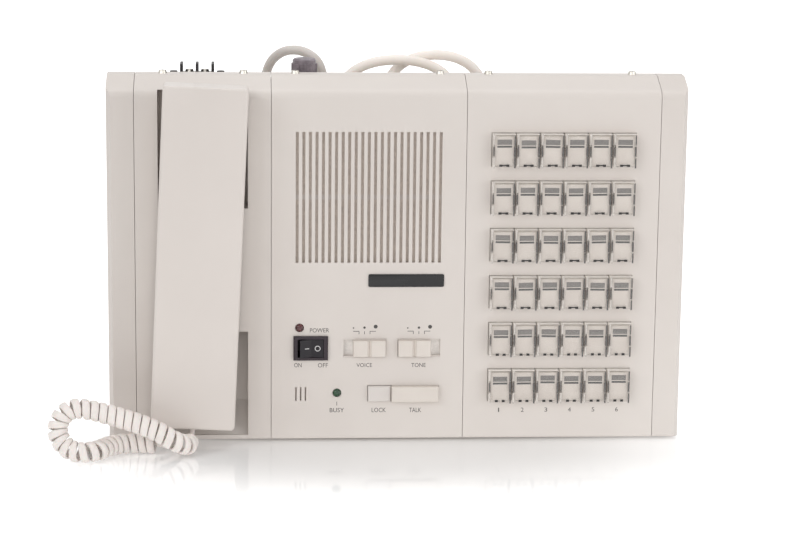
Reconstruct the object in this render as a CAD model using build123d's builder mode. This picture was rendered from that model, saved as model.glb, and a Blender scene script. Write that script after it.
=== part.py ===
"""Staff call console: a wide upright intercom station in three front modules between two end caps,
with a handset in its cradle, a loudspeaker, volume and tone slides, talk keys and 36 station keys.

Millimetres. +X is to the right as the front is seen, +Y goes back, +Z is up. The origin is under the
middle of the console's box, on the surface that it stands on.
"""

import math
import os

from build123d import *

# The front: two end caps, the handset module and two wide modules
WIDE_MODULE = 117.4
HANDSET_MODULE = 81.8
END_CAP = 16.7
COVER_HEIGHT = 222.0
BEVEL_RISE = 8.0
BEVEL_DEPTH = 20.0
COVER_DEPTH = 32.0
COVER_WALL = 2.5
COVER_LIP = 9.5
COVER_LIFT = 1.5
FACE_ROUND = 6.0
FOOT_ROUND = 2.0
CAP_CHAMFER = (2.7, 4.5)
WEB_SHORT = 1.0

# Clearances
SEAT_GAP = 0.3
SEAM_GAP = 0.3
SHELL_GAP = 0.1

# How far a cut runs past what it cuts, and how far an added form reaches into its neighbour
CUT = 1.0
OVERLAP = 0.01

# The sheet steel chassis behind the covers: a rail under their flange, a deck, a cable ledge and a base
CHASSIS_DEPTH = 75.0
CHASSIS_FRONT = 10.5
CHASSIS_SHEET = 1.5
CHASSIS_LIP = 6.0
DECK_DROP = 10.0
DECK_BACK = 54.0
LEDGE_DROP = 26.0
RAIL_FRONT = 22.0
RAIL_BACK = 30.5

# The handset, its two bosses and the cradle's two wells
HANDSET_SHORT = 6.6
HANDSET_WIDTH = 50.6
HANDSET_PROUD = 24.0
HANDSET_CROWN = 1.6
HANDSET_EDGE = 10.0
HANDSET_GRIP = 4.0
HANDSET_SKEW = 2.5
HANDSET_ASIDE = -2.15
HANDSET_RAISE = 9.0
HANDSET_CORNER = 2.5
HANDSET_ROUND = 1.6
SHELL_WALL = 2.2
EAR_BOSS_DEPTH = 13.5
EAR_BOSS_END = 10.7
EAR_BOSS_LONG = 64.0
EAR_BOSS_SIDE = 2.2
MOUTH_BOSS_DEPTH = 11.0
MOUTH_BOSS_END = 17.7
MOUTH_BOSS_LONG = 33.0
MOUTH_BOSS_SIDE = 5.0
BOSS_TAPER = 6.0
BOSS_CORNER = 5.0
SOUND_PITCH = 4.0
SOUND_SLOT = 1.4
SOUND_LONG = 16.0
CRADLE_SIDE = 1.6
CRADLE_DEPTH = 18.0
UPPER_WELL_FOOT = 1.4
UPPER_WELL_TOP = 1.0
LOWER_WELL_FOOT = 3.0
LOWER_WELL_TOP = 4.7
RAMP_TOP = 20.6
RAMP_FOOT = 2.0
HOOK_SIZE = (9.0, 6.0)
HOOK_UP = 60.0
HOOK_TRAVEL = 4.0
HOOK_GAP = 0.35
HOOK_EDGE = 1.0
HOOK_FLANGE = (2.0, 1.5)
HOOK_FLANGE_THICK = 2.0

# The speaker module: the grille, microphone slots, lamps, rocker switch, slides and talk keys
GRILLE_SLOTS = 23
GRILLE_PITCH = 3.92
GRILLE_SLOT = 1.8
GRILLE_TALL = 79.8
GRILLE_DROP = 63.8
RIB_WIDE = 3.0
RIB_DEEP = 1.6
SPEAKER_RADIUS = 38.5
SPEAKER_DEEP = 27.0
SPEAKER_CONE_DEEP = 9.0
SPEAKER_DOME = 0.28
SPEAKER_CONE = (0.87, 1.4)
SPEAKER_FLANGE = (0.9, 1.8)
SPEAKER_BASKET = (0.92, 3.2)
MAGNET_RADIUS = 19.0
MAGNET_FRONT = 13.0
MIC_ASIDE = -40.7
MIC_HEIGHT = 28.5
MIC_PITCH = 2.9
MIC_SLOTS = 3
MIC_SLOT = 0.9
MIC_TALL = 8.6
LAMP_PLACES = ((-41.5, 70.0), (-18.6, 29.2))
LAMP_RADIUS = 2.5
LAMP_GAP = 0.15
LAMP_PROUD = 1.8
LAMP_LONG = 7.0
SWITCH_ASIDE = -34.7
SWITCH_HEIGHT = 57.4
SWITCH_BEZEL = (21.0, 15.0)
SWITCH_BODY = (18.8, 12.8)
SWITCH_MOUTH = (16.0, 11.4)
SWITCH_PROUD = 2.0
SWITCH_DEEP = 16.0
SWITCH_BACK = 2.0
BEZEL_EDGE = 0.6
BEZEL_ROOT = 0.5
ROCKER_WIDE = 14.4
ROCKER_LEAN = 8.0
ROCKER_HINGE = 1.4
ROCKER_END = 3.0
ROCKER_RIDGE = 1.4
ROCKER_DRAFT = 0.6
ROCKER_SKIRT = 1.6
ROCKER_FOOT = (3.0, 7.5)
SLIDE_HEIGHT = 57.3
SLIDE_TRAVEL = 5.6
SLIDE_PLACES = ((-1.7, SLIDE_TRAVEL / 2), (31.3, -SLIDE_TRAVEL / 2))
SLIDE_RECESS = (26.0, 11.7)
SLIDE_RECESS_DEPTH = 3.0
SLIDE_FLOOR = 2.0
SLIDE_RIM = 1.5
SLIDE_KNOB = (19.8, 9.9)
SLIDE_PROUD = 3.2
SLIDE_GROOVE = 1.4
KNOB_EDGE = 0.4
SLIDE_STEM = (6.4, 2.4)
SLIDE_STEM_LONG = 7.0
TALK_HEIGHT = 28.7
BUTTON_TALL = 9.6
BUTTON_GAP = 0.3
BUTTON_EDGE = 0.6
LOCK_WIDE = 14.0
LOCK_PROUD = 2.2
TALK_WIDE = 28.8
TALK_PROUD = 4.2
TALK_WINDOW_ASIDE = 21.9
LIP_TALL = 1.3
LIP_THICK = 1.4

# The key module: six rows of six station keys
KEY_ROWS = 6
KEY_COLUMNS = 6
KEY_PITCH_X = 14.6
KEY_TOP_DROP = 34.4
KEY_BOTTOM_ROW = 33.8
KEY_WIDE = 14.0
KEY_TALL = 20.0
KEY_GAP = 0.35
KEY_PROUD = 6.0
KEY_BASE = 0.8
KEY_TAPER = 2.0
CAP_GAP = 0.1
CARD_SIZE = (11.4, 17.4)
CARD_PROUD = 4.8
NOTCH_WIDE = 6.0
NOTCH_TALL = 1.6
NOTCH_DEEP = 0.8

# Fasteners and fittings: M3 pan heads, a two-pole terminal strip, a fuse holder's cap
HANDSET_SCREW_INSET = 16.5
WIDE_SCREW_INSET = 14.7
SCREW_DEPTH = 26.0
SCREW_HEAD = 2.65
SCREW_TALL = 1.9
SCREW_TAPER = 12.0
SCREW_SHANK = 1.45
SCREW_HOLE = 1.6
SCREW_LONG = 7.0
STRIP_ASIDE = -3.8
FITTING_DEPTH = 43.0
STRIP_LONG = 36.4
STRIP_DEEP = 16.0
STRIP_BASE = 7.4
STRIP_TALL = 14.2
STRIP_PITCH = 9.5
STRIP_WALL = 1.7
STRIP_PLATE = 1.0
STRIP_EAR = 14.3
STRIP_INSET = 1.0
FUSE_ASIDE = -38.1
FUSE_RADIUS = 8.0
FUSE_FLUTES = 20
FUSE_FLUTE = 0.6
FUSE_TALL = 17.2
FUSE_CROWN = 3.0
FUSE_STEP = 0.2
FUSE_EDGE = 1.0
FUSE_SLOT = (1.2, 1.0)

# Cords: the curly handset cord, the mains lead and two link cables
ARC_SHARE = 0.45
CURL_OUTER = 12.4
CURL_WIRE = 2.8
CURL_COUNT = 34
JACK_ASIDE = -33.6
JACK_HEIGHT = 7.0
JACK_SIZE = (8.0, 7.0)
JACK_DEPTH = 7.0
JACK_WALL = 2.0
JACK_PLUG = (7.4, 6.4)
JACK_PLUG_SUNK = 0.8
CURL_START = 15.0
CURL_END = 46.0
LEAD_RADIUS = 3.0
LEAD_LOW = 3.1
LEAD_ASIDE = -25.4
LEAD_DEPTH = 64.5
LINK_RADIUS = 3.15
LINK_DEPTHS = (60.5, 68.5)
LINK_STARTS = (-16.6, 12.9)
LINK_FINISHES = (-60.5, -41.9)
LINK_CROWNS = (226.3, 228.4)
RELIEF_TALL = 20.0
BUSHING_TALL = 10.0
RELIEF_FOOT = 5.5
BUSHING_FOOT = 5.0
RELIEF_WALL = 0.8
BUSHING_WALL = 0.7
COIL_AT = (-53.0, 130.0)
COIL_TURNS = 6.25
COIL_OUTER = 42.0
COIL_STEP = 6.7
COIL_LAYER = 6.5
PLUG_RELIEF = 24.0
PLUG_THROAT = 5.5
PLUG_HEEL = 2.4
PLUG_HEEL_ROUND = 0.9
PLUG_NOSE_ROUND = 0.45
PLUG_LONG = 30.0
PLUG_WIDE = 34.0
PLUG_THICK = 18.4
PIN_PITCH = 19.0
PIN_RADIUS = 2.4
PIN_LONG = 19.0

# Derived places on the console
TOTAL_WIDTH = 2 * WIDE_MODULE + HANDSET_MODULE + 2 * END_CAP
FACE_HEIGHT = COVER_HEIGHT - BEVEL_RISE
FACE_Y = (HANDSET_PROUD - CHASSIS_DEPTH) / 2
LEFT = -TOTAL_WIDTH / 2
HANDSET_LEFT = LEFT + END_CAP
SPEAKER_LEFT = HANDSET_LEFT + HANDSET_MODULE
KEYS_LEFT = SPEAKER_LEFT + WIDE_MODULE
KEYS_RIGHT = KEYS_LEFT + WIDE_MODULE
HANDSET_X = HANDSET_LEFT + HANDSET_MODULE / 2
SPEAKER_X = SPEAKER_LEFT + WIDE_MODULE / 2
KEYS_X = KEYS_LEFT + WIDE_MODULE / 2
CHEEK = COVER_WALL + CAP_CHAMFER[0]
CHASSIS_HALF = TOTAL_WIDTH / 2 - CHEEK - SEAT_GAP
DECK_HEIGHT = COVER_HEIGHT - DECK_DROP
LEDGE_HEIGHT = DECK_HEIGHT - LEDGE_DROP
SCREWED = (
    (HANDSET_X, HANDSET_MODULE / 2 - HANDSET_SCREW_INSET),
    (SPEAKER_X, WIDE_MODULE / 2 - WIDE_SCREW_INSET),
    (KEYS_X, WIDE_MODULE / 2 - WIDE_SCREW_INSET),
)

# Derived sizes of the handset and its cradle
HANDSET_LENGTH = FACE_HEIGHT - HANDSET_SHORT
HANDSET_HALF = HANDSET_LENGTH / 2
HANDSET_MIDDLE = (HANDSET_X + HANDSET_ASIDE, FACE_HEIGHT / 2 + HANDSET_RAISE)
EAR_BOSS = (HANDSET_HALF - EAR_BOSS_END - EAR_BOSS_LONG, HANDSET_HALF - EAR_BOSS_END, EAR_BOSS_DEPTH)
MOUTH_BOSS = (MOUTH_BOSS_END - HANDSET_HALF, MOUTH_BOSS_END + MOUTH_BOSS_LONG - HANDSET_HALF, MOUTH_BOSS_DEPTH)
EAR_WIDTH = HANDSET_WIDTH - 2 * EAR_BOSS_SIDE
MOUTH_WIDTH = HANDSET_WIDTH - 2 * MOUTH_BOSS_SIDE
CRADLE_WIDTH = HANDSET_WIDTH + 2 * CRADLE_SIDE
UPPER_WELL = (HANDSET_MIDDLE[1] + EAR_BOSS[0] - UPPER_WELL_FOOT, FACE_HEIGHT + UPPER_WELL_TOP)
LOWER_WELL = (LOWER_WELL_FOOT, HANDSET_MIDDLE[1] + MOUTH_BOSS[1] + LOWER_WELL_TOP)
HOOK_AT = (HANDSET_X, HANDSET_MIDDLE[1] + HOOK_UP)
JACK_AT = (HANDSET_X + JACK_ASIDE, JACK_HEIGHT)

# Derived places on the speaker and key modules
GRILLE_MIDDLE = FACE_HEIGHT - GRILLE_DROP
MIC_AT = (SPEAKER_X + MIC_ASIDE, MIC_HEIGHT)
LAMPS = [(SPEAKER_X + aside, height) for aside, height in LAMP_PLACES]
SWITCH_AT = (SPEAKER_X + SWITCH_ASIDE, SWITCH_HEIGHT)
SLIDES = [(SPEAKER_X + aside, rest) for aside, rest in SLIDE_PLACES]
BUTTON_BACK = COVER_WALL + SEAT_GAP + LIP_THICK
TALK_WINDOW = LOCK_WIDE + TALK_WIDE + 3 * BUTTON_GAP
TALK_WINDOW_X = SPEAKER_X + TALK_WINDOW_ASIDE
LOCK_X = TALK_WINDOW_X - TALK_WINDOW / 2 + BUTTON_GAP + LOCK_WIDE / 2
TALK_X = TALK_WINDOW_X + TALK_WINDOW / 2 - BUTTON_GAP - TALK_WIDE / 2
KEY_TOP_ROW = FACE_HEIGHT - KEY_TOP_DROP
KEY_PITCH_Z = (KEY_TOP_ROW - KEY_BOTTOM_ROW) / (KEY_ROWS - 1)

# Derived places of the fittings and cables
STRIP_AT = (HANDSET_X + STRIP_ASIDE, FITTING_DEPTH)
FUSE_AT = (SPEAKER_X + FUSE_ASIDE, FITTING_DEPTH)
LEAD_AT = (SPEAKER_X + LEAD_ASIDE, LEAD_DEPTH)
LINK_ENDS = [(SPEAKER_X + start, KEYS_X + finish) for start, finish in zip(LINK_STARTS, LINK_FINISHES)]
COIL_START = COIL_AT[0] - COIL_OUTER
LEAD_END = COIL_AT[1] - 2 * LEAD_RADIUS - SHELL_GAP

os.makedirs("parts", exist_ok=True)


def keep(part, name):
    part.label = name
    export_step(part, f"parts/{name}.step")


# Planes and plain shapes

def at(x, depth, height):
    """A point of the console, from its depth behind the face and its height on the covers."""
    return (x, FACE_Y + depth, COVER_LIFT + height)


def face(depth=0.0, x=0.0, height=0.0):
    """A plane parallel to the face; extruding from it goes towards the viewer."""
    return Plane(origin=at(x, depth, height), x_dir=(1, 0, 0), z_dir=(0, -1, 0))


def side(x):
    """A plane across the console: its own x is the depth and its own y the height."""
    return Plane(origin=at(x, 0, 0), x_dir=(0, 1, 0), z_dir=(1, 0, 0))


def deck(height, x=0.0, depth=0.0):
    """A level plane at a height, with its own x to the right and its own y going back."""
    return Plane(origin=at(x, depth, height), x_dir=(1, 0, 0), z_dir=(0, 0, 1))


SKEW = math.radians(HANDSET_SKEW)


def handset_face(proud, up=0.0, right=0.0):
    """A plane of the leaning handset, at a distance in front of the panel's face."""
    x, height = HANDSET_MIDDLE
    x += right * math.cos(SKEW) + up * math.sin(SKEW)
    height += up * math.cos(SKEW) - right * math.sin(SKEW)
    return Plane(origin=at(x, -proud, height), x_dir=(math.cos(SKEW), 0, -math.sin(SKEW)), z_dir=(0, -1, 0))


HANDSET_SIDE = Plane(
    origin=at(HANDSET_MIDDLE[0], 0, HANDSET_MIDDLE[1]), x_dir=(0, -1, 0),
    z_dir=(-math.cos(SKEW), 0, math.sin(SKEW)),
)


def prism(plane, points, amount, mode=Mode.ADD):
    """A straight-sided outline, extruded from its plane."""
    with BuildSketch(plane) as outline:
        with BuildLine():
            Polyline(*points, close=True)
        make_face()
    return extrude(outline.sketch, amount=amount, mode=mode)


def block(plane, wide, tall, amount, mode=Mode.ADD):
    """A rectangle round the plane's origin, extruded from it."""
    with BuildSketch(plane) as outline:
        Rectangle(wide, tall)
    return extrude(outline.sketch, amount=amount, mode=mode)


# Covers: one common section, cut to each module's width

def cover_shell(left, wide):
    """The covers' section of foot, face, bevel and top flange, one wall thick, over a width."""
    slant = math.hypot(BEVEL_DEPTH, BEVEL_RISE)
    inner_face = FACE_HEIGHT + COVER_WALL * (BEVEL_RISE - slant) / BEVEL_DEPTH
    inner_top = BEVEL_DEPTH + COVER_WALL * (slant - BEVEL_DEPTH) / BEVEL_RISE
    with BuildSketch(side(left)) as section:
        with BuildLine():
            outer = FilletPolyline(
                (COVER_LIP, 0), (0, 0), (0, FACE_HEIGHT), (BEVEL_DEPTH, COVER_HEIGHT), (COVER_DEPTH, COVER_HEIGHT),
                radius=(FOOT_ROUND, FACE_ROUND, FACE_ROUND),
            )
            Polyline(
                outer @ 1, (COVER_DEPTH, COVER_HEIGHT - COVER_WALL), (inner_top, COVER_HEIGHT - COVER_WALL),
                (COVER_WALL, inner_face), (COVER_WALL, COVER_WALL), (COVER_LIP, COVER_WALL), outer @ 0,
            )
        make_face()
    extrude(section.sketch, amount=wide)


def cover_web(left, depth, wide):
    """An upright web that fills the section from behind the face to a depth."""
    slope_end = min(depth, BEVEL_DEPTH)
    rise = BEVEL_RISE * slope_end / BEVEL_DEPTH
    top = [(COVER_WALL / 2, FACE_HEIGHT - WEB_SHORT), (slope_end, FACE_HEIGHT - WEB_SHORT + rise)]
    if depth > BEVEL_DEPTH:
        top.append((depth, COVER_HEIGHT - WEB_SHORT))
    prism(side(left), [(COVER_WALL / 2, COVER_WALL / 2), *top, (depth, COVER_WALL / 2)], wide)


def add_cover(left, right):
    """A module's cover between two seams, with a web along each seam."""
    low, high = left + SEAM_GAP / 2, right - SEAM_GAP / 2
    cover_shell(low, high - low)
    cover_web(low, COVER_LIP, COVER_WALL)
    cover_web(high - COVER_WALL, COVER_LIP, COVER_WALL)


def screw_holes(x, offset):
    """The two screw holes of a module, through its flange and the rail below."""
    with BuildSketch(deck(COVER_HEIGHT + CUT, x, SCREW_DEPTH)) as holes:
        with GridLocations(2 * offset, 0, 2, 1):
            Circle(SCREW_HOLE)
    extrude(holes.sketch, amount=-SCREW_LONG - 2 * CUT, mode=Mode.SUBTRACT)


def pan_screw(x, depth, height, long):
    """A pan-head screw seated at a height, with its shank below it where it has one."""
    with BuildSketch(deck(height, x, depth)) as head:
        Circle(SCREW_HEAD)
    extrude(head.sketch, amount=SCREW_TALL, taper=SCREW_TAPER)
    if long:
        with BuildSketch(deck(height + OVERLAP, x, depth)) as shank:
            Circle(SCREW_SHANK)
        extrude(shank.sketch, amount=-long)


def key_height(row):
    return KEY_TOP_ROW - row * KEY_PITCH_Z


def chassis_outline(inward):
    """The chassis in section from its rail to its base; inward is how far inside the outer faces."""
    rail_top = COVER_HEIGHT - COVER_WALL - SEAT_GAP - inward
    open_front = RAIL_FRONT - (1 if inward else 0)
    lip_top = CHASSIS_LIP + (1 if inward else 0)
    step = open_front if inward else RAIL_FRONT
    return [
        (open_front, rail_top), (RAIL_BACK - inward, rail_top), (RAIL_BACK - inward, DECK_HEIGHT - inward),
        (DECK_BACK - inward, DECK_HEIGHT - inward), (DECK_BACK - inward, LEDGE_HEIGHT - inward),
        (CHASSIS_DEPTH - inward, LEDGE_HEIGHT - inward), (CHASSIS_DEPTH - inward, inward - COVER_LIFT),
        (CHASSIS_FRONT + inward, inward - COVER_LIFT), (CHASSIS_FRONT + inward, lip_top), (step, lip_top),
    ]


def chamfer_outer_edge(x):
    """The slanted upright edge on the outer side of an end cap."""
    wide, deep = CAP_CHAMFER
    inward = CUT if x < 0 else -CUT
    edge = x + math.copysign(wide, -x)
    prism(deck(-CUT), [(x - inward, -CUT), (edge, -CUT), (edge, 0), (x, deep), (x - inward, deep)],
          COVER_HEIGHT + 2 * CUT, mode=Mode.SUBTRACT)


# The end caps

with BuildPart() as end_caps:
    cap_wide = END_CAP - SEAM_GAP / 2
    for start, web, cheek, outer in (
        (LEFT, HANDSET_LEFT - SEAM_GAP / 2 - COVER_WALL, LEFT, LEFT),
        (KEYS_RIGHT + SEAM_GAP / 2, KEYS_RIGHT + SEAM_GAP / 2, -LEFT - CHEEK, -LEFT),
    ):
        cover_shell(start, cap_wide)
        cover_web(web, COVER_LIP, COVER_WALL)
        cover_web(cheek, COVER_DEPTH, CHEEK)
        chamfer_outer_edge(outer)
keep(end_caps.part, "end_caps")


# The handset module, with the two wells of the cradle

def well_upper(grow):
    low, high = UPPER_WELL
    front = COVER_WALL / 2 if grow else -COVER_WALL
    if grow:
        top = [(BEVEL_DEPTH / 2, high + grow), (COVER_WALL, FACE_HEIGHT - 1)]
    else:
        top = [(front, high)]
    deep = CRADLE_DEPTH + grow
    return [(front, low - grow), (deep, low - grow), (deep, high + grow), *top]


def well_lower(grow):
    low, high = LOWER_WELL
    front = COVER_WALL / 2 if grow else -COVER_WALL
    deep = CRADLE_DEPTH + grow
    return [
        (front, high + grow), (deep, high + grow), (deep, RAMP_TOP - grow / 2),
        (RAMP_FOOT + grow * 0.75, low - grow * 0.7), (front, low - grow * 0.7),
    ]


with BuildPart() as handset_module_cover:
    add_cover(HANDSET_LEFT, SPEAKER_LEFT)
    for well in (well_upper, well_lower):
        prism(side(HANDSET_X - CRADLE_WIDTH / 2 - COVER_WALL), well(COVER_WALL), CRADLE_WIDTH + 2 * COVER_WALL)
    for well in (well_upper, well_lower):
        prism(side(HANDSET_X - CRADLE_WIDTH / 2), well(0), CRADLE_WIDTH, mode=Mode.SUBTRACT)
    block(face(CRADLE_DEPTH - CUT, *HOOK_AT), HOOK_SIZE[0] + 2 * HOOK_GAP, HOOK_SIZE[1] + 2 * HOOK_GAP,
          -COVER_WALL - 2 * CUT, mode=Mode.SUBTRACT)
    block(face(JACK_DEPTH + JACK_WALL, *JACK_AT), JACK_SIZE[0] + 2 * JACK_WALL, JACK_SIZE[1] + 2 * JACK_WALL,
          JACK_DEPTH)
    block(face(-CUT, *JACK_AT), *JACK_SIZE, -JACK_DEPTH - CUT, mode=Mode.SUBTRACT)
    screw_holes(*SCREWED[0])
keep(handset_module_cover.part, "handset_module_cover")

with BuildPart() as hook_plunger:
    tip = EAR_BOSS_DEPTH + SEAT_GAP
    flange = CRADLE_DEPTH + COVER_WALL + HOOK_TRAVEL + SEAT_GAP
    block(face(tip, *HOOK_AT), *HOOK_SIZE, tip - flange - HOOK_FLANGE_THICK)
    chamfer(hook_plunger.faces().sort_by(Axis.Y)[0].edges(), HOOK_EDGE)
    block(face(flange, *HOOK_AT), HOOK_SIZE[0] + 2 * HOOK_FLANGE[0], HOOK_SIZE[1] + 2 * HOOK_FLANGE[1],
          -HOOK_FLANGE_THICK)
keep(hook_plunger.part, "hook_plunger")


# The handset: an outer shell, and an inner shell with the two bosses that sit in the wells

with BuildPart() as handset_outer_shell:
    crown = HANDSET_PROUD - HANDSET_CROWN
    half = HANDSET_HALF
    with BuildSketch(HANDSET_SIDE) as crowned:
        with BuildLine():
            Line((HANDSET_EDGE, -half), (HANDSET_EDGE, half))
            Line((HANDSET_EDGE, half), (crown, half))
            ThreePointArc((crown, half), (HANDSET_PROUD, 0), (crown, -half))
            Line((crown, -half), (HANDSET_EDGE, -half))
        make_face()
    extrude(crowned.sketch, amount=HANDSET_WIDTH / 2, both=True)
    fillet(handset_outer_shell.edges().filter_by(Axis.Y), HANDSET_CORNER)
    fillet(handset_outer_shell.faces().sort_by(Axis.Y)[0].edges(), HANDSET_ROUND)
    block(handset_face(HANDSET_EDGE), HANDSET_WIDTH - 2 * SHELL_WALL, HANDSET_LENGTH - 2 * SHELL_WALL,
          crown - HANDSET_EDGE - SHELL_WALL, mode=Mode.SUBTRACT)
keep(handset_outer_shell.part, "handset_outer_shell")

with BuildPart() as handset_inner_shell:
    split_line = HANDSET_EDGE - SHELL_GAP
    with BuildSketch(handset_face(HANDSET_GRIP)) as slab:
        RectangleRounded(HANDSET_WIDTH, HANDSET_LENGTH, HANDSET_CORNER)
    extrude(slab.sketch, amount=split_line - HANDSET_GRIP)
    for low, high, deep in (EAR_BOSS, MOUTH_BOSS):
        width = EAR_WIDTH if deep == EAR_BOSS_DEPTH else MOUTH_WIDTH
        with BuildSketch(handset_face(HANDSET_GRIP, (low + high) / 2)) as root:
            RectangleRounded(width, high - low, BOSS_CORNER)
        with BuildSketch(handset_face(-deep, (low + high) / 2)) as nose:
            RectangleRounded(width - BOSS_TAPER, high - low - BOSS_TAPER, BOSS_CORNER)
        loft([root.sketch.faces()[0], nose.sketch.faces()[0]])
        block(handset_face(split_line, (low + high) / 2), width - 4 * SHELL_WALL, high - low - 4 * SHELL_WALL,
              -(split_line + deep - SHELL_WALL), mode=Mode.SUBTRACT)
        for i in range(-2, 3):
            block(handset_face(-deep - 1, (low + high) / 2, i * SOUND_PITCH), SOUND_SLOT, SOUND_LONG, SHELL_WALL + 2,
                  mode=Mode.SUBTRACT)
keep(handset_inner_shell.part, "handset_inner_shell")


# The speaker module and what shows through it

with BuildPart() as speaker_module_cover:
    add_cover(SPEAKER_LEFT, KEYS_LEFT)
    with BuildSketch(face(-CUT, SPEAKER_X, GRILLE_MIDDLE)) as slots:
        with GridLocations(GRILLE_PITCH, 0, GRILLE_SLOTS, 1):
            Rectangle(GRILLE_SLOT, GRILLE_TALL)
    extrude(slots.sketch, amount=-COVER_WALL - 2 * CUT, mode=Mode.SUBTRACT)
    block(face(COVER_WALL - OVERLAP, SPEAKER_X, GRILLE_MIDDLE), GRILLE_SLOTS * GRILLE_PITCH, RIB_WIDE, -RIB_DEEP)
    with BuildSketch(face(-CUT, *MIC_AT)) as mic:
        with GridLocations(MIC_PITCH, 0, MIC_SLOTS, 1):
            Rectangle(MIC_SLOT, MIC_TALL)
    extrude(mic.sketch, amount=-COVER_WALL - 2 * CUT, mode=Mode.SUBTRACT)
    for x, height in LAMPS:
        with BuildSketch(face(-CUT, x, height)) as lamp_hole:
            Circle(LAMP_RADIUS + LAMP_GAP)
        extrude(lamp_hole.sketch, amount=-COVER_WALL - 2 * CUT, mode=Mode.SUBTRACT)
    block(face(-CUT, *SWITCH_AT), SWITCH_BODY[0] + 2 * SEAT_GAP, SWITCH_BODY[1] + 2 * SEAT_GAP, -COVER_WALL - 2 * CUT,
          mode=Mode.SUBTRACT)
    block(face(-CUT, TALK_WINDOW_X, TALK_HEIGHT), TALK_WINDOW, BUTTON_TALL + 2 * BUTTON_GAP, -COVER_WALL - 2 * CUT,
          mode=Mode.SUBTRACT)
    for x, _ in SLIDES:
        block(face(COVER_WALL - OVERLAP, x, SLIDE_HEIGHT), SLIDE_RECESS[0] + 2 * SLIDE_RIM,
              SLIDE_RECESS[1] + 2 * SLIDE_RIM, -SLIDE_FLOOR)
        block(face(-CUT, x, SLIDE_HEIGHT), *SLIDE_RECESS, -CUT - SLIDE_RECESS_DEPTH, mode=Mode.SUBTRACT)
        block(face(0, x, SLIDE_HEIGHT), SLIDE_STEM[0] + SLIDE_TRAVEL + 2 * SEAT_GAP, SLIDE_STEM[1] + 2 * SEAT_GAP,
              -SLIDE_RECESS_DEPTH - SLIDE_STEM_LONG, mode=Mode.SUBTRACT)
    screw_holes(*SCREWED[1])
keep(speaker_module_cover.part, "speaker_module_cover")

with BuildPart() as loudspeaker:
    front = COVER_WALL + RIB_DEEP + SEAT_GAP
    middle = at(SPEAKER_X, front, GRILLE_MIDDLE)
    cone, flange, bowl = (SPEAKER_RADIUS * share for share in (SPEAKER_CONE[0], SPEAKER_FLANGE[0], SPEAKER_BASKET[0]))
    with BuildSketch(deck(GRILLE_MIDDLE, SPEAKER_X, front)) as basket:
        with BuildLine():
            Polyline(
                (0, SPEAKER_CONE_DEEP), (SPEAKER_RADIUS * SPEAKER_DOME, SPEAKER_CONE_DEEP), (cone, SPEAKER_CONE[1]),
                (flange, 0), (SPEAKER_RADIUS, 0), (SPEAKER_RADIUS, SPEAKER_FLANGE[1]), (bowl, SPEAKER_BASKET[1]),
                (MAGNET_RADIUS, MAGNET_FRONT), (MAGNET_RADIUS, SPEAKER_DEEP), (0, SPEAKER_DEEP), close=True,
            )
        make_face()
    revolve(basket.sketch, axis=Axis(middle, (0, 1, 0)))
keep(loudspeaker.part, "loudspeaker")

with BuildPart() as indicator_lamps:
    for x, height in LAMPS:
        with BuildSketch(face(LAMP_LONG, x, height)) as lens:
            Circle(LAMP_RADIUS)
        extrude(lens.sketch, amount=LAMP_LONG + LAMP_PROUD)
    fillet(indicator_lamps.faces().sort_by(Axis.Y)[:len(LAMPS)].edges(), LAMP_PROUD)
keep(indicator_lamps.part, "indicator_lamps")

with BuildPart() as power_switch_frame:
    block(face(0, *SWITCH_AT), *SWITCH_BEZEL, SWITCH_PROUD)
    chamfer(power_switch_frame.faces().sort_by(Axis.Y)[0].edges(), BEZEL_EDGE)
    block(face(-BEZEL_ROOT, *SWITCH_AT), *SWITCH_BODY, -SWITCH_DEEP)
    block(face(-SWITCH_PROUD - CUT, *SWITCH_AT), *SWITCH_MOUTH, SWITCH_BACK - SWITCH_DEEP - SWITCH_PROUD - CUT,
          mode=Mode.SUBTRACT)
keep(power_switch_frame.part, "power_switch_frame")

with BuildPart() as power_rocker:
    wide, hinge = ROCKER_WIDE / 2, ROCKER_HINGE
    skirt, foot = wide - ROCKER_DRAFT, ROCKER_FOOT[0]
    points = [
        (-wide, -ROCKER_END), (0, -ROCKER_RIDGE), (wide, -ROCKER_END), (skirt, ROCKER_SKIRT), (foot, ROCKER_FOOT[1]),
        (-foot, ROCKER_FOOT[1]), (-skirt, ROCKER_SKIRT),
    ]
    lean = math.radians(ROCKER_LEAN)
    turned = [
        (x * math.cos(lean) - (d - hinge) * math.sin(lean), hinge + x * math.sin(lean) + (d - hinge) * math.cos(lean))
        for x, d in points
    ]
    tall = SWITCH_MOUTH[1] - 2 * SEAT_GAP
    prism(deck(SWITCH_AT[1] - tall / 2, SWITCH_AT[0]), turned, tall)
keep(power_rocker.part, "power_rocker")

for name, (x, rest) in zip(("voice_knob", "tone_knob"), SLIDES):
    with BuildPart() as knob:
        long, tall = SLIDE_KNOB[0] / 2, SLIDE_KNOB[1]
        back = SLIDE_RECESS_DEPTH - SEAT_GAP
        prism(deck(SLIDE_HEIGHT - tall / 2, x + rest), [
            (-long, back), (-long, KNOB_EDGE - SLIDE_PROUD), (KNOB_EDGE - long, -SLIDE_PROUD),
            (-SLIDE_GROOVE, -SLIDE_PROUD), (0, -SLIDE_PROUD / 2), (SLIDE_GROOVE, -SLIDE_PROUD),
            (long - KNOB_EDGE, -SLIDE_PROUD), (long, KNOB_EDGE - SLIDE_PROUD), (long, back),
        ], tall)
        block(face(back - OVERLAP, x + rest, SLIDE_HEIGHT), *SLIDE_STEM, -SLIDE_STEM_LONG)
    keep(knob.part, name)


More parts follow.
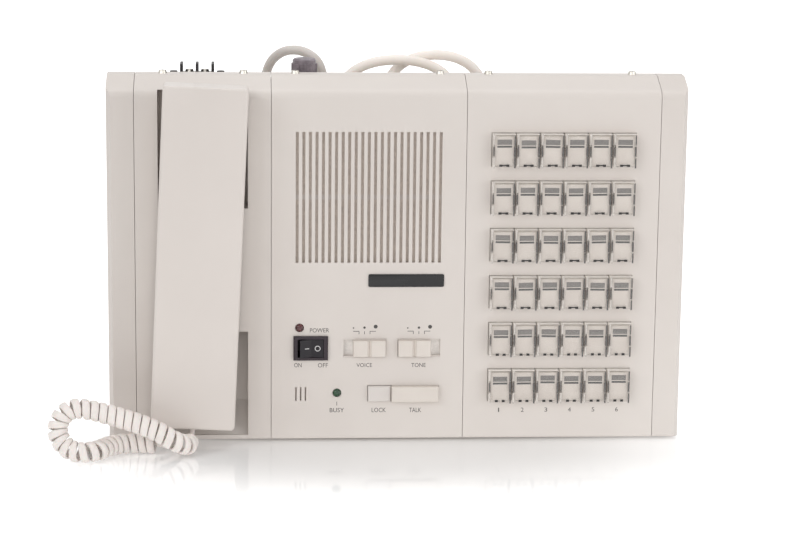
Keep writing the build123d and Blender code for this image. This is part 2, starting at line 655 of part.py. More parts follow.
for name, x, wide, proud in (
    ("lock_button", LOCK_X, LOCK_WIDE, LOCK_PROUD),
    ("talk_button", TALK_X, TALK_WIDE, TALK_PROUD),
):
    with BuildPart() as button:
        block(face(BUTTON_BACK, x, TALK_HEIGHT), wide, BUTTON_TALL, BUTTON_BACK + proud)
        chamfer(button.faces().sort_by(Axis.Y)[0].edges(), BUTTON_EDGE)
        block(face(BUTTON_BACK, x, TALK_HEIGHT), wide, BUTTON_TALL + 2 * LIP_TALL, LIP_THICK)
    keep(button.part, name)


# The key module: six windows of six station keys, each a base with a card under its own clear cap

with BuildPart() as key_module_cover:
    add_cover(KEYS_LEFT, KEYS_RIGHT)
    for row in range(KEY_ROWS):
        block(face(-CUT, KEYS_X, key_height(row)), (KEY_COLUMNS - 1) * KEY_PITCH_X + KEY_WIDE + 2 * KEY_GAP,
              KEY_TALL + 2 * KEY_GAP, -COVER_WALL - 2 * CUT, mode=Mode.SUBTRACT)
    screw_holes(*SCREWED[2])
keep(key_module_cover.part, "key_module_cover")

for row in range(KEY_ROWS):
    for column in range(KEY_COLUMNS):
        x = KEYS_X + (column - (KEY_COLUMNS - 1) / 2) * KEY_PITCH_X
        height = key_height(row)
        with BuildPart() as key:
            block(face(BUTTON_BACK, x, height), KEY_WIDE, KEY_TALL, BUTTON_BACK + KEY_BASE)
            block(face(BUTTON_BACK, x, height), KEY_WIDE, KEY_TALL + 2 * LIP_TALL, LIP_THICK)
            block(face(-KEY_BASE, x, height), *CARD_SIZE, CARD_PROUD - KEY_BASE)
            with BuildSketch(face(-KEY_BASE - CAP_GAP, x, height)) as skirt:
                Rectangle(KEY_WIDE, KEY_TALL)
            cap = extrude(skirt.sketch, amount=KEY_PROUD - KEY_BASE - CAP_GAP, taper=KEY_TAPER, mode=Mode.PRIVATE)
            with BuildSketch(face(-KEY_BASE - CAP_GAP, x, height)) as hollow:
                Rectangle(CARD_SIZE[0] + 2 * CAP_GAP, CARD_SIZE[1] + 2 * CAP_GAP)
            cap -= extrude(hollow.sketch, amount=CARD_PROUD - KEY_BASE, mode=Mode.PRIVATE)
            with BuildSketch(face(-KEY_PROUD - CUT, x, height - KEY_TALL / 2)) as notch:
                Rectangle(NOTCH_WIDE, 2 * NOTCH_TALL)
            cap -= extrude(notch.sketch, amount=-CUT - NOTCH_DEEP, mode=Mode.PRIVATE)
            add(cap)
        keep(key.part, f"key_row{row + 1}_column{column + 1}")


# The chassis and what stands on its deck

with BuildPart() as chassis:
    prism(side(-CHASSIS_HALF), chassis_outline(0), 2 * CHASSIS_HALF)
    prism(side(CHASSIS_SHEET - CHASSIS_HALF), chassis_outline(CHASSIS_SHEET), 2 * (CHASSIS_HALF - CHASSIS_SHEET),
          mode=Mode.SUBTRACT)
    for x, offset in SCREWED:
        screw_holes(x, offset)
keep(chassis.part, "rear_housing")

with BuildPart() as cover_screws:
    for x, offset in SCREWED:
        for sign in (-1, 1):
            pan_screw(x + sign * offset, SCREW_DEPTH, COVER_HEIGHT, SCREW_LONG)
keep(cover_screws.part, "cover_screws")

with BuildPart() as terminal_strip:
    base_top = DECK_HEIGHT + STRIP_BASE
    x, depth = STRIP_AT
    block(deck(DECK_HEIGHT + SHELL_GAP, x, depth), STRIP_LONG, STRIP_DEEP, STRIP_BASE - SHELL_GAP)
    for i in (-1, 0, 1):
        block(deck(base_top - OVERLAP, x + i * STRIP_PITCH, depth), STRIP_WALL, STRIP_DEEP - 2 * STRIP_INSET,
              STRIP_TALL - STRIP_BASE)
    for offset in (-STRIP_PITCH / 2, STRIP_PITCH / 2):
        plate = deck(base_top + SHELL_GAP, x + offset, depth)
        block(plate, STRIP_PITCH - STRIP_WALL - 2 * SHELL_GAP, STRIP_DEEP - 4 * STRIP_INSET, STRIP_PLATE)
        pan_screw(x + offset, depth, base_top + SHELL_GAP + STRIP_PLATE, 0)
    for offset in (-STRIP_EAR, STRIP_EAR):
        pan_screw(x + offset, depth, base_top + SHELL_GAP, 0)
keep(terminal_strip.part, "terminal_strip")

with BuildPart() as fuse_cap:
    x, depth = FUSE_AT
    flutes = [
        (math.cos(i * math.pi / FUSE_FLUTES) * r, math.sin(i * math.pi / FUSE_FLUTES) * r)
        for i, r in enumerate([FUSE_RADIUS, FUSE_RADIUS - FUSE_FLUTE] * FUSE_FLUTES)
    ]
    prism(deck(DECK_HEIGHT + SEAT_GAP, x, depth), flutes, FUSE_TALL - SEAT_GAP - FUSE_CROWN)
    with BuildSketch(deck(DECK_HEIGHT + FUSE_TALL - FUSE_CROWN, x, depth)) as crown:
        Circle(FUSE_RADIUS - FUSE_FLUTE - FUSE_STEP)
    extrude(crown.sketch, amount=FUSE_CROWN)
    chamfer(fuse_cap.faces().sort_by(Axis.Z)[-1].edges(), FUSE_EDGE)
    block(deck(DECK_HEIGHT + FUSE_TALL, x, depth), FUSE_RADIUS, FUSE_SLOT[0], -FUSE_SLOT[1], mode=Mode.SUBTRACT)
keep(fuse_cap.part, "fuse_cap")


# Cords: each follows straight runs joined by arcs as large as the runs allow

def radii_of(points):
    """Each corner's radius: a share of the shorter run, divided by the tangent of half the turn."""
    radii = []
    for before, corner, after in zip(points, points[1:], points[2:]):
        arriving = Vector(*corner) - Vector(*before)
        leaving = Vector(*after) - Vector(*corner)
        half_turn = math.radians(arriving.get_angle(leaving)) / 2
        radii.append(ARC_SHARE * min(arriving.length, leaving.length) / math.tan(half_turn))
    return radii


def rounded(name, points):
    """A cord's centre line through its route's points, which are x, depth and height above the floor."""
    placed = [(x, FACE_Y + depth, up) for x, depth, up in points]
    radii = radii_of(placed)
    with BuildLine() as line:
        FilletPolyline(*placed, radius=radii)
    path = line.line.wires()[0]
    print(name, "length", round(path.length, 1), "radii", [round(r, 1) for r in radii])
    return path


def cord_tube(path, radius, name):
    """A round tube along a centre line, with its volume compared with its section times its length."""
    with BuildSketch(Plane(origin=path @ 0, z_dir=path % 0)) as section:
        Circle(radius)
    tube = sweep(section.sketch, path=path)
    print(name, "tube volume over section times length", round(tube.volume / (math.pi * radius**2 * path.length), 4))


def biarc(start, along, end, onward):
    """Two arcs that join, leaving the start along one direction and reaching the end along another."""
    chord = end - start
    both = along + onward
    spread = 2 * (1 - along.dot(onward))
    reach = (math.sqrt(chord.dot(both) ** 2 + spread * chord.dot(chord)) - chord.dot(both)) / spread
    joint = (start + end + (along - onward) * reach) / 2
    TangentArc(start, joint, tangent=along)
    TangentArc(joint, end, tangent=onward * -1, tangent_from_first=False)


def coiled_wire(nodes, lead_in, lead_out):
    """A wire through nodes of place and direction by biarcs, with a straight run at each end."""
    with BuildLine() as wire:
        Line(nodes[0][0] - nodes[0][1] * lead_in, nodes[0][0])
        for (start, along), (end, onward) in zip(nodes, nodes[1:]):
            biarc(start, along, end, onward)
        Line(nodes[-1][0], nodes[-1][0] + nodes[-1][1] * lead_out)
    return wire.line.wires()[0]


def faceted_tube(wire, radius, sides, name):
    """A tube of flat sides along a wound wire; prints the wire's length and least gap to itself."""
    with BuildSketch(Plane(origin=wire @ 0, z_dir=wire % 0)) as section:
        RegularPolygon(radius, sides)
    sweep(section.sketch, path=wire, clean=False)
    count = int(wire.length / radius)
    points = [wire @ (i / count) for i in range(count + 1)]
    skip = 4
    least = min(
        (points[i] - points[j]).length for i in range(count) for j in range(i + skip, min(count, i + 200))
    )
    print(name, "wire length", round(wire.length, 1), "least gap to itself", round(least - 2 * radius, 2))


# The curly cord's own line: out of the handset's end, up and over in a standing loop, back under itself
# and into its jack

HANDSET_TAIL = [(-124.1, -13.0, 13.7), (-124.2, -13.4, 7.8), (-125.0, -20.5, 6.5)]
CURLED = [
    (-125.9, -30.5, 7.0), (-129.4, -36.5, 8.7), (-135.4, -40.0, 12.3), (-142.2, -39.8, 16.8), (-150.7, -38.8, 20.6),
    (-159.3, -38.0, 23.5), (-167.9, -37.5, 26.1), (-176.7, -37.3, 28.7), (-185.4, -37.3, 31.0), (-195.1, -37.6, 31.9),
    (-202.2, -38.6, 26.0), (-203.8, -40.3, 17.0), (-199.2, -42.8, 9.6), (-192.7, -45.0, 6.9), (-186.0, -45.4, 6.8),
    (-179.9, -42.2, 6.8), (-176.3, -36.3, 6.8), (-172.4, -30.5, 6.8), (-166.5, -26.6, 6.8), (-158.0, -25.0, 6.8),
    (-149.5, -25.0, 6.8),
]
JACK_TAIL = [
    (-141.5, -25.2, 5.6), (-135.0, -23.5, 3.4), (-131.8, -17.8, 2.4), (-134.5, -11.9, 2.4), (-141.5, -10.4, 3.6),
    (-148.2, -10.2, 6.2), (-151.0, -6.0, 8.2), (-151.0, 0.7, 8.5),
]


def curl_nodes(path, start, end, turns, radius):
    """Places and directions on a helix round a stretch of a path, opening and closing over a turn."""
    steps_per_turn = 24
    steps = turns * steps_per_turn
    normal = Vector(0, 0, 1)
    points = []
    for i in range(steps + 1):
        where = (start + (end - start) * i / steps) / path.length
        middle, along = path.position_at(where), path.tangent_at(where)
        normal = (normal - along * normal.dot(along)).normalized()
        binormal = along.cross(normal)
        opened = min(i, steps - i, steps_per_turn) / steps_per_turn
        reach = radius * opened * opened * (3 - 2 * opened)
        angle = 2 * math.pi * i / steps_per_turn
        points.append(middle + (normal * math.cos(angle) + binormal * math.sin(angle)) * reach)
    nodes = [(path.position_at(start / path.length), path.tangent_at(start / path.length))]
    i = steps_per_turn // 4
    while i < steps:
        nodes.append((points[i], (points[i + 1] - points[i - 1]).normalized()))
        near_end = i < steps_per_turn or i >= steps - steps_per_turn
        i += steps_per_turn // 4 if near_end else steps_per_turn // 2
    nodes.append((path.position_at(end / path.length), path.tangent_at(end / path.length)))
    return nodes


with BuildPart() as handset_cord:
    cord_path = rounded("handset cord", HANDSET_TAIL + CURLED + JACK_TAIL)
    tail_in = CURL_START
    tail_out = cord_path.length - CURL_END
    nodes = curl_nodes(cord_path, tail_in, tail_out, CURL_COUNT, (CURL_OUTER - CURL_WIRE) / 2)
    with BuildLine() as curly:
        add(cord_path.trim(0, tail_in / cord_path.length))
        for (start, along), (end, onward) in zip(nodes, nodes[1:]):
            biarc(start, along, end, onward)
        add(cord_path.trim(tail_out / cord_path.length, 1))
    faceted_tube(curly.line.wires()[0], CURL_WIRE / 2, 4, "handset cord")
with BuildPart() as jack_plug:
    block(face(JACK_DEPTH - SHELL_GAP, *JACK_AT), *JACK_PLUG, JACK_DEPTH - SHELL_GAP - JACK_PLUG_SUNK)
keep(Compound(handset_cord.solids() + jack_plug.solids()), "handset_cord")


# The cables behind: each leaves a tapered sleeve on the ledge

LEAD_START = (*LEAD_AT, LEDGE_HEIGHT + RELIEF_TALL + COVER_LIFT + SHELL_GAP)
LEAD_ROUTE = [
    LEAD_START, (-43.2, 64.8, 221.9), (-53.6, 67.5, 232.4), (-68.4, 74.0, 232.4), (-78.6, 81.5, 221.5),
    (-79.7, 86.0, 203.0), (-79.9, 87.5, 168.0), (-79.0, 88.0, 118.0), (-79.4, 88.5, 72.0), (-81.5, 90.5, 36.0),
    (-85.5, 94.5, 14.0), (-91.0, 102.0, 4.4), (COIL_START, 113.0, LEAD_LOW), (COIL_START, LEAD_END, LEAD_LOW),
]


def sleeve(x, depth, foot, tip, tall):
    """A tapered sleeve on the ledge with a cable coming out of its top."""
    with BuildSketch(deck(LEDGE_HEIGHT, x, depth)) as bottom:
        Circle(foot)
    with BuildSketch(deck(LEDGE_HEIGHT + tall, x, depth)) as top:
        Circle(tip)
    loft([bottom.sketch.faces()[0], top.sketch.faces()[0]])


with BuildPart() as strain_reliefs:
    sleeve(*LEAD_AT, RELIEF_FOOT, LEAD_RADIUS + RELIEF_WALL, RELIEF_TALL)
    for depth, ends in zip(LINK_DEPTHS, LINK_ENDS):
        for x in ends:
            sleeve(x, depth, BUSHING_FOOT, LINK_RADIUS + BUSHING_WALL, BUSHING_TALL)
keep(strain_reliefs.part, "strain_reliefs")


def link_route(ends, depth, crown):
    """A low arch from one sleeve to the other, with its crown at a height above the floor."""
    left, right = ends
    foot = LEDGE_HEIGHT + BUSHING_TALL + COVER_LIFT + SHELL_GAP
    middle, half, rise = (left + right) / 2, (right - left) / 2, crown - foot
    shape = ((1.0, 0.0), (1.0, 0.3), (0.9, 0.62), (0.68, 0.87), (0.36, 1.02), (0.0, 1.06))
    right_side = [(middle + half * out, depth, foot + rise * up) for out, up in shape]
    left_side = [(middle - half * out, depth, foot + rise * up) for out, up in shape[:-1]]
    return left_side + right_side[::-1]


with BuildPart() as rear_cables:
    cord_tube(rounded("mains lead", LEAD_ROUTE), LEAD_RADIUS, "mains lead")
    for name, ends, depth, crown in zip(("front link", "rear link"), LINK_ENDS, LINK_DEPTHS, LINK_CROWNS):
        cord_tube(rounded(name, link_route(ends, depth, crown)), LINK_RADIUS, name)
keep(rear_cables.part, "rear_cables")

# The rest of the mains lead: a neat coil of two layers on the floor behind, and its plug


def coil_nodes():
    """Quarter turns of a spiral that winds in, climbs a layer where it turns back, and winds out again."""
    middle_x, middle_depth = COIL_AT
    fine = 6
    points = []
    for i in range(-1, round(4 * COIL_TURNS) * fine + 2):
        turn = i / (4 * fine)
        radius = COIL_OUTER - COIL_STEP * min(turn, COIL_TURNS - turn)
        rise = min(max((turn - COIL_TURNS / 2 + 0.25) / 0.5, 0), 1)
        angle = math.pi - 2 * math.pi * turn
        height = LEAD_LOW + COIL_LAYER * rise * rise * (3 - 2 * rise)
        points.append(Vector(
            middle_x + radius * math.cos(angle), FACE_Y + middle_depth + radius * math.sin(angle), height,
        ))
    return [
        (points[k], (points[k + 1] - points[k - 1]).normalized())
        for k in range(1, len(points) - 1, fine)
    ]


with BuildPart() as mains_lead_coil:
    coil_wire = coiled_wire(coil_nodes(), 2 * LEAD_RADIUS, 2 * LEAD_RADIUS)
    faceted_tube(coil_wire, LEAD_RADIUS, 6, "coil")
keep(mains_lead_coil.part, "mains_lead_coil")

with BuildPart() as mains_plug:
    plug_end = coil_wire @ 1

    def plug_plane(along, aside=0.0):
        """A plane across the plug, at a distance from where its lead enters."""
        return Plane(origin=plug_end + Vector(along, aside, 0), x_dir=(0, 1, 0), z_dir=(1, 0, 0))

    with BuildSketch(plug_plane(SHELL_GAP)) as tip:
        Circle(LEAD_RADIUS + RELIEF_WALL)
    with BuildSketch(plug_plane(PLUG_RELIEF)) as throat:
        Circle(PLUG_THROAT)
    loft([tip.sketch.faces()[0], throat.sketch.faces()[0]])
    with BuildSketch(plug_plane(PLUG_RELIEF - CUT)) as heel:
        RectangleRounded(PLUG_HEEL * PLUG_THROAT, 2 * PLUG_THROAT, PLUG_THROAT * PLUG_HEEL_ROUND)
    with BuildSketch(plug_plane(PLUG_RELIEF + PLUG_LONG)) as nose:
        RectangleRounded(PLUG_WIDE, PLUG_THICK, PLUG_THICK * PLUG_NOSE_ROUND)
    loft([heel.sketch.faces()[0], nose.sketch.faces()[0]])
    for aside in (-PIN_PITCH / 2, PIN_PITCH / 2):
        with BuildSketch(plug_plane(PLUG_RELIEF + PLUG_LONG - CUT, aside)) as pin:
            Circle(PIN_RADIUS)
        extrude(pin.sketch, amount=PIN_LONG + CUT)
keep(mains_plug.part, "mains_plug")
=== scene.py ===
# %% [markdown]
# # A staff call console, dressed for its portrait
# The rigid model comes from CAD and is loaded here as a fixed frame. This script adds what CAD leaves plain:
# the curly cord's flat band, the cables, clear key caps over printed cards, inks, lamps and every finish.
# The frame is the CAD model's own, in metres: +X right, +Y back, +Z up, floor at 0. The helpers below take
# millimetres, and MM turns these into metres.

# %% Load the frame and keep its box
import math
import random

import bmesh
import bpy
from mathutils import Matrix, Vector


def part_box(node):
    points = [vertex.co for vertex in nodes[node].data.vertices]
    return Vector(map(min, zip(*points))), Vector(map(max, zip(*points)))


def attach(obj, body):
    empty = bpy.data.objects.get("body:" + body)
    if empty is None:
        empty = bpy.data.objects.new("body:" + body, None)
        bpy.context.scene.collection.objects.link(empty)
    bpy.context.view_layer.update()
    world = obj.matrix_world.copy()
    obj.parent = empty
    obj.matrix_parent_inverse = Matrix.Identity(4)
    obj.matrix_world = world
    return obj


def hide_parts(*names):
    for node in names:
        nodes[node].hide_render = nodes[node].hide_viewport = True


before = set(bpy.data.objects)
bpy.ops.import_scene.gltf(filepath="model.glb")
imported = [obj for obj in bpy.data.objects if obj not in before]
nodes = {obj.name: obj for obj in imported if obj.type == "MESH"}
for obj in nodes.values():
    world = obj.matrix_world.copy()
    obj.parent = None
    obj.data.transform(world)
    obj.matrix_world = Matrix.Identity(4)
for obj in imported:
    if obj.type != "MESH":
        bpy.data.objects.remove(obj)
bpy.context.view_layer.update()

MM = 0.001
FACE_Y = -25.5 * MM
COVER_LIFT = 1.5 * MM


def console_place(x, depth, height):
    """A place in metres, from millimetres to the right, behind the covers' face and above the floor."""
    return Vector((x * MM, FACE_Y + depth * MM, height * MM))


def cover_place(x, depth, height):
    """The same, with the height counted from the covers' foot."""
    return console_place(x, depth, height) + Vector((0, 0, COVER_LIFT))


def axes(right, up, out):
    """A turn that sends X, Y and Z to three directions."""
    return Matrix((right, up, out)).transposed().to_4x4()


def add_object(name, data):
    """A new object in the scene, with its data."""
    item = bpy.data.objects.new(name, data)
    bpy.context.scene.collection.objects.link(item)
    return item


# %% [markdown]
# ## The camera
# A long lens about 1.5 m away, a little left of the console's middle and above it. The three axes were fitted to
# the console's seams, so straight edges fall where they do in the picture.

# %% Place the camera
CAMERA_PLACE = (-0.093046, -1.505759, 0.415344)
CAMERA_AXES = ((0.99805, -0.06144, 0.01092), (0.00173, 0.20228, 0.97933), (-0.06238, -0.97740, 0.20199))
camera_data = bpy.data.cameras.new("portrait_camera")
camera_data.sensor_width, camera_data.lens = 36, 112.5
camera_data.clip_start, camera_data.clip_end = 0.05, 50
camera = add_object("portrait_camera", camera_data)
camera.matrix_world = Matrix.Translation(CAMERA_PLACE) @ axes(*CAMERA_AXES)
bpy.context.scene.camera = camera

# %% [markdown]
# ## Node helpers
# Each finish is a Principled shader with two kinds of detail: a slow change of tone, as moulded plastic has, and a
# fine bump for its texture. Both read Object coordinates, so they stay put on the piece from every side.

# %% Shader helpers
def linear(red, green, blue):
    """A screen colour from 0 to 255 as the linear colour that a shader takes."""
    def channel(value):
        value /= 255
        return value / 12.92 if value <= 0.04045 else ((value + 0.055) / 1.055) ** 2.4
    return (channel(red), channel(green), channel(blue), 1)


def finish(name, roughness, **sockets):
    """A new material and its Principled shader, with the shader's inputs set by name."""
    material = bpy.data.materials.new(name)
    material.use_nodes = True
    shader = material.node_tree.nodes["Principled BSDF"]
    for socket, value in {"Roughness": roughness, **sockets}.items():
        shader.inputs[socket.replace("_", " ")].default_value = value
    return material, shader


def add_node(owner, kind, **values):
    """A node of a kind in a material or world, with its properties or inputs set by name."""
    node = owner.node_tree.nodes.new(kind)
    for key, value in values.items():
        if hasattr(node, key):
            setattr(node, key, value)
        else:
            node.inputs[key.replace("_", " ")].default_value = value
    return node


def wire(owner, *links):
    """Links nodes, each link given as a node, its output, the next node and its input."""
    for start, output, end, entry in links:
        owner.node_tree.links.new(start.outputs[output], end.inputs[entry])


def color_ramp(owner, *stops):
    """A colour ramp from pairs of a position and a screen colour, in rising order."""
    node = add_node(owner, "ShaderNodeValToRGB")
    while len(node.color_ramp.elements) < len(stops):
        node.color_ramp.elements.new(0.5)
    for element, (position, color) in zip(node.color_ramp.elements, stops):
        element.position, element.color = position, linear(*color)
    return node


def mottled(material, shader, light, dark, scale, stretch=(1, 1, 1)):
    """A slow drift between two close tones, in Object coordinates."""
    place = add_node(material, "ShaderNodeTexCoord")
    mapping = add_node(material, "ShaderNodeMapping", Scale=stretch)
    noise = add_node(material, "ShaderNodeTexNoise", Scale=scale, Detail=4.0, Roughness=0.55)
    tones = color_ramp(material, (0.3, dark), (0.7, light))
    wire(
        material, (place, "Object", mapping, "Vector"), (mapping, "Vector", noise, "Vector"),
        (noise, "Fac", tones, "Fac"), (tones, "Color", shader, "Base Color"),
    )


def grained(material, shader, scale, height, low, high):
    """A fine bump and a slight change of gloss from one noise."""
    place = add_node(material, "ShaderNodeTexCoord")
    noise = add_node(material, "ShaderNodeTexNoise", Scale=scale, Detail=3.0, Roughness=0.6)
    bump = add_node(material, "ShaderNodeBump", Strength=0.6, Distance=height)
    spread = add_node(material, "ShaderNodeMapRange", To_Min=low, To_Max=high)
    wire(
        material, (place, "Object", noise, "Vector"), (noise, "Fac", bump, "Height"),
        (bump, "Normal", shader, "Normal"), (noise, "Fac", spread, "Value"), (spread, "Result", shader, "Roughness"),
    )


# %% [markdown]
# ## Plastics
# One helper makes most finishes, and a plastic is such a finish with its own sheen. The covers are a warm light grey
# moulding with a very fine spark texture. Their tone is painted paler with its depth behind the face, and a little
# paler lower down: painted light that stands in for the light bouncing about in the wells. The handset is the same
# plastic, but smoother. Knobs, buttons and key bases are creamier, and the switch, strip and fuse cap are black.

# %% Make the plastics
def surface(name, light, dark, scale, grain, height, low, high, stretch=(1, 1, 1), **sockets):
    """A finish: two tones and their scale, a grain and its height, and the lowest and highest roughness."""
    material, shader = finish(name, (low + high) / 2, **sockets)
    mottled(material, shader, light, dark, scale, stretch)
    grained(material, shader, grain, height, low, high)
    return material


def plastic(*looks, shine=0.42):
    """A finish with a plastic's sheen."""
    return surface(*looks, Specular_IOR_Level=shine)


cover_plastic, shader = finish("cover_plastic", 0.48, Specular_IOR_Level=0.42)
grained(cover_plastic, shader, 2600, 0.00004, 0.42, 0.54)
place = add_node(cover_plastic, "ShaderNodeTexCoord")
noise = add_node(cover_plastic, "ShaderNodeTexNoise", Scale=9.0, Detail=4.0, Roughness=0.55)
inward = add_node(cover_plastic, "ShaderNodeVectorMath", operation="DOT_PRODUCT")
inward.inputs[1].default_value = (0, 1, -0.12)
# Painted light: paler with depth behind the face, and a little paler lower down.
painted_well_light = add_node(
    cover_plastic, "ShaderNodeMapRange", From_Min=FACE_Y - 2 * MM, From_Max=FACE_Y + 24 * MM, To_Max=0.6,
)
drift = add_node(cover_plastic, "ShaderNodeMath", operation="MULTIPLY_ADD")
drift.inputs[1].default_value = 0.4
tones = color_ramp(cover_plastic, (0.12, (212, 204, 198)), (0.28, (219, 212, 206)), (1.0, (250, 243, 237)))
wire(
    cover_plastic, (place, "Object", noise, "Vector"), (place, "Object", inward, 0),
    (inward, "Value", painted_well_light, "Value"), (noise, "Fac", drift, 0), (painted_well_light, "Result", drift, 2),
    (drift, "Value", tones, "Fac"), (tones, "Color", shader, "Base Color"),
)
cap_plastic = plastic("end_cap_plastic", (218, 211, 205), (211, 203, 197), 8, 2600, 0.00004, 0.42, 0.54)
handset_plastic = plastic("handset_plastic", (221, 213, 207), (215, 207, 201), 10, 3400, 0.00002, 0.28, 0.38)
knob_plastic = plastic("knob_plastic", (220, 212, 204), (214, 205, 197), 40, 3000, 0.00002, 0.36, 0.46)
button_plastic = plastic("button_plastic", (219, 211, 203), (214, 205, 197), 40, 3000, 0.00002, 0.34, 0.44)
lock_plastic = plastic("lock_plastic", (217, 211, 206), (212, 205, 200), 40, 3000, 0.00002, 0.34, 0.44)
key_plastic = plastic("key_base_plastic", (225, 219, 211), (217, 211, 203), 60, 3000, 0.00002, 0.40, 0.50)
bezel_plastic = plastic("bezel_plastic", (50, 40, 47), (43, 34, 40), 60, 2400, 0.00003, 0.36, 0.46, shine=0.34)
fuse_plastic = plastic("fuse_plastic", (146, 135, 141), (92, 83, 89), 170, 2400, 0.00003, 0.30, 0.42)
rocker_plastic = plastic("rocker_plastic", (28, 23, 30), (22, 18, 24), 60, 1800, 0.00001, 0.26, 0.34, shine=0.28)
strip_plastic = plastic("strip_plastic", (40, 36, 36), (27, 25, 26), 90, 2200, 0.00004, 0.42, 0.55)
lacquer = plastic("nameplate_lacquer", (27, 27, 28), (21, 21, 22), 50, 3200, 0.00001, 0.14, 0.20, shine=0.36)

# %% [markdown]
# ## Metals, paint and inks
# The housing behind is sheet steel under light grey paint with a faint orange peel. Screws are bright zinc. The
# inks are a soft dark grey for the covers and white for the rocker. A black ink also serves as painted shade, and a
# pale one as painted light.

# %% Make the metals and inks
housing_paint = plastic("housing_paint", (207, 201, 193), (198, 192, 184), 6, 420, 0.00008, 0.34, 0.46)


def metal(name, light, dark, low, high, grain, stretch=(1, 1, 1)):
    """A bare metal with a fine patchy tone."""
    return surface(name, light, dark, 240, grain, 0.00002, low, high, stretch, Metallic=1.0)


def ink(name, color, roughness):
    """A flat ink, slightly uneven, for print and for painted light and shade."""
    material, shader = finish(name, roughness)
    mottled(material, shader, color, [part * 0.93 for part in color], 900)
    return material


screw_zinc = metal("screw_zinc", (208, 204, 196), (176, 172, 164), 0.22, 0.36, 1500)
plate_steel = metal("clamp_plate_steel", (198, 194, 186), (150, 146, 138), 0.26, 0.42, 1200, (1, 6, 1))
speaker_steel = metal("speaker_steel", (96, 92, 88), (72, 69, 66), 0.4, 0.55, 700)
grey_ink = ink("grey_ink", (74, 70, 68), 0.5)
# The black ink prints the cards' heavy lines, and it also serves as painted shade for cap notches and screw crosses.
black_ink_and_painted_shade = ink("black_ink_and_painted_shade", (34, 31, 31), 0.5)
white_ink = ink("white_ink", (214, 212, 212), 0.4)
# The pale ink is painted light for the slides' recess floors.
painted_light_ink = ink("painted_light_ink", (246, 241, 236), 0.45)
print("materials made:", len(bpy.data.materials))

# %% [markdown]
# ## Cable jackets
# The curly cord is off-white and slightly waxy. The mains lead is a cool grey, and the two links are the covers'
# beige. Soft PVC has a satin gloss and picks up dust, so its tone drifts along it.

# %% Make the jackets
def jacket(name, light, dark, roughness):
    """Soft PVC, with a little light scattered under its skin."""
    return surface(
        name, light, dark, 55, 900, 0.00003, roughness - 0.06, roughness + 0.08, Subsurface_Weight=0.05,
        Subsurface_Scale=0.001,
    )


curly_jacket = jacket("curly_cord_jacket", (240, 233, 228), (233, 226, 221), 0.36)
lead_jacket = jacket("mains_lead_jacket", (214, 207, 202), (204, 197, 191), 0.42)
link_jacket = jacket("link_cable_jacket", (247, 239, 232), (240, 231, 223), 0.42)
relief_jacket = jacket("strain_relief_rubber", (178, 173, 166), (166, 161, 154), 0.5)

# %% [markdown]
# ## Mesh helpers
# A finished piece sits at the origin with its place in its mesh. One helper turns a bmesh into a piece, which rides
# on the console unless another body is named. Others copy a CAD node apart into its solids, round edges, and add
# boxes and turned shapes.

# %% Pieces from bmesh, and copies of CAD solids
def place_piece(bm, name, *materials, body="console", slot=None, sharp=35):
    """Turns a bmesh into a piece that rides on a body, smooth except at edges over the sharp angle."""
    bmesh.ops.recalc_face_normals(bm, faces=bm.faces)
    mesh = bpy.data.meshes.new(name)
    bm.to_mesh(mesh)
    bm.free()
    for face in mesh.polygons:
        face.use_smooth = True
    mesh.set_sharp_from_angle(angle=math.radians(sharp))
    piece = add_object(name, mesh)
    for material in materials:
        mesh.materials.append(material)
    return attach(piece, body)


def merged_copy(node):
    """A bmesh copy of a CAD node with its loose triangles joined and its flat faces whole again."""
    bm = bmesh.new()
    bm.from_mesh(nodes[node].data)
    for face in bm.faces:
        face.material_index = 0
    bmesh.ops.remove_doubles(bm, verts=bm.verts, dist=0.000002)
    bmesh.ops.dissolve_limit(bm, angle_limit=math.radians(0.5), verts=bm.verts, edges=bm.edges)
    return bm


def solids_of(node):
    """The separate solids of a CAD node as bmeshes, the ones nearer the viewer first."""
    whole = merged_copy(node)
    left, groups = set(whole.verts), []
    while left:
        group, todo = set(), [left.pop()]
        while todo:
            vert = todo.pop()
            group.add(vert.index)
            near = [edge.other_vert(vert) for edge in vert.link_edges]
            todo += [other for other in near if other in left]
            left.difference_update(near)
        groups.append(group)
    parts = []
    for group in groups:
        part = whole.copy()
        part.verts.ensure_lookup_table()
        bmesh.ops.delete(part, geom=[v for v in part.verts if v.index not in group], context="VERTS")
        parts.append(part)
    whole.free()
    return sorted(parts, key=lambda part: min(v.co.y for v in part.verts))


def round_edges(bm, edges, width, segments=2):
    """Rounds some edges, by a width in millimetres."""
    bmesh.ops.bevel(
        bm, geom=edges, offset=width * MM, offset_type="OFFSET", segments=segments, profile=0.5, affect="EDGES",
        clamp_overlap=True, material=-1,
    )


def soften(bm, width, over=30):
    """Rounds every edge whose faces turn by more than an angle."""
    round_edges(bm, [
        edge for edge in bm.edges if len(edge.link_faces) == 2 and edge.calc_face_angle(0) > math.radians(over)
    ], width)


def edges_along(bm, axis):
    """The edges that run more than half a millimetre along an axis."""
    return [edge for edge in bm.edges if abs(edge.verts[0].co[axis] - edge.verts[1].co[axis]) > 0.5 * MM]


def box_into(bm, place, size, bevel=0.0):
    """Adds a box by the place of its middle and its size in millimetres, with its edges rounded."""
    made = bmesh.ops.create_cube(bm, size=MM)["verts"]
    bmesh.ops.scale(bm, vec=size, verts=made)
    bmesh.ops.translate(bm, vec=place, verts=made)
    if bevel:
        round_edges(bm, list({edge for vert in made for edge in vert.link_edges}), bevel)


def spin_into(bm, place, axis, outline, steps):
    """Adds an outline, given as millimetres out from an axis and along it, turned once round that axis."""
    verts = [bm.verts.new(place + (Vector((out, 0, 0)) + axis * along) * MM) for out, along in outline]
    edges = [bm.edges.new(pair) for pair in zip(verts, verts[1:])]
    bmesh.ops.spin(
        bm, geom=verts + edges, cent=place, axis=axis, angle=2 * math.pi, steps=steps, use_merge=True,
    )


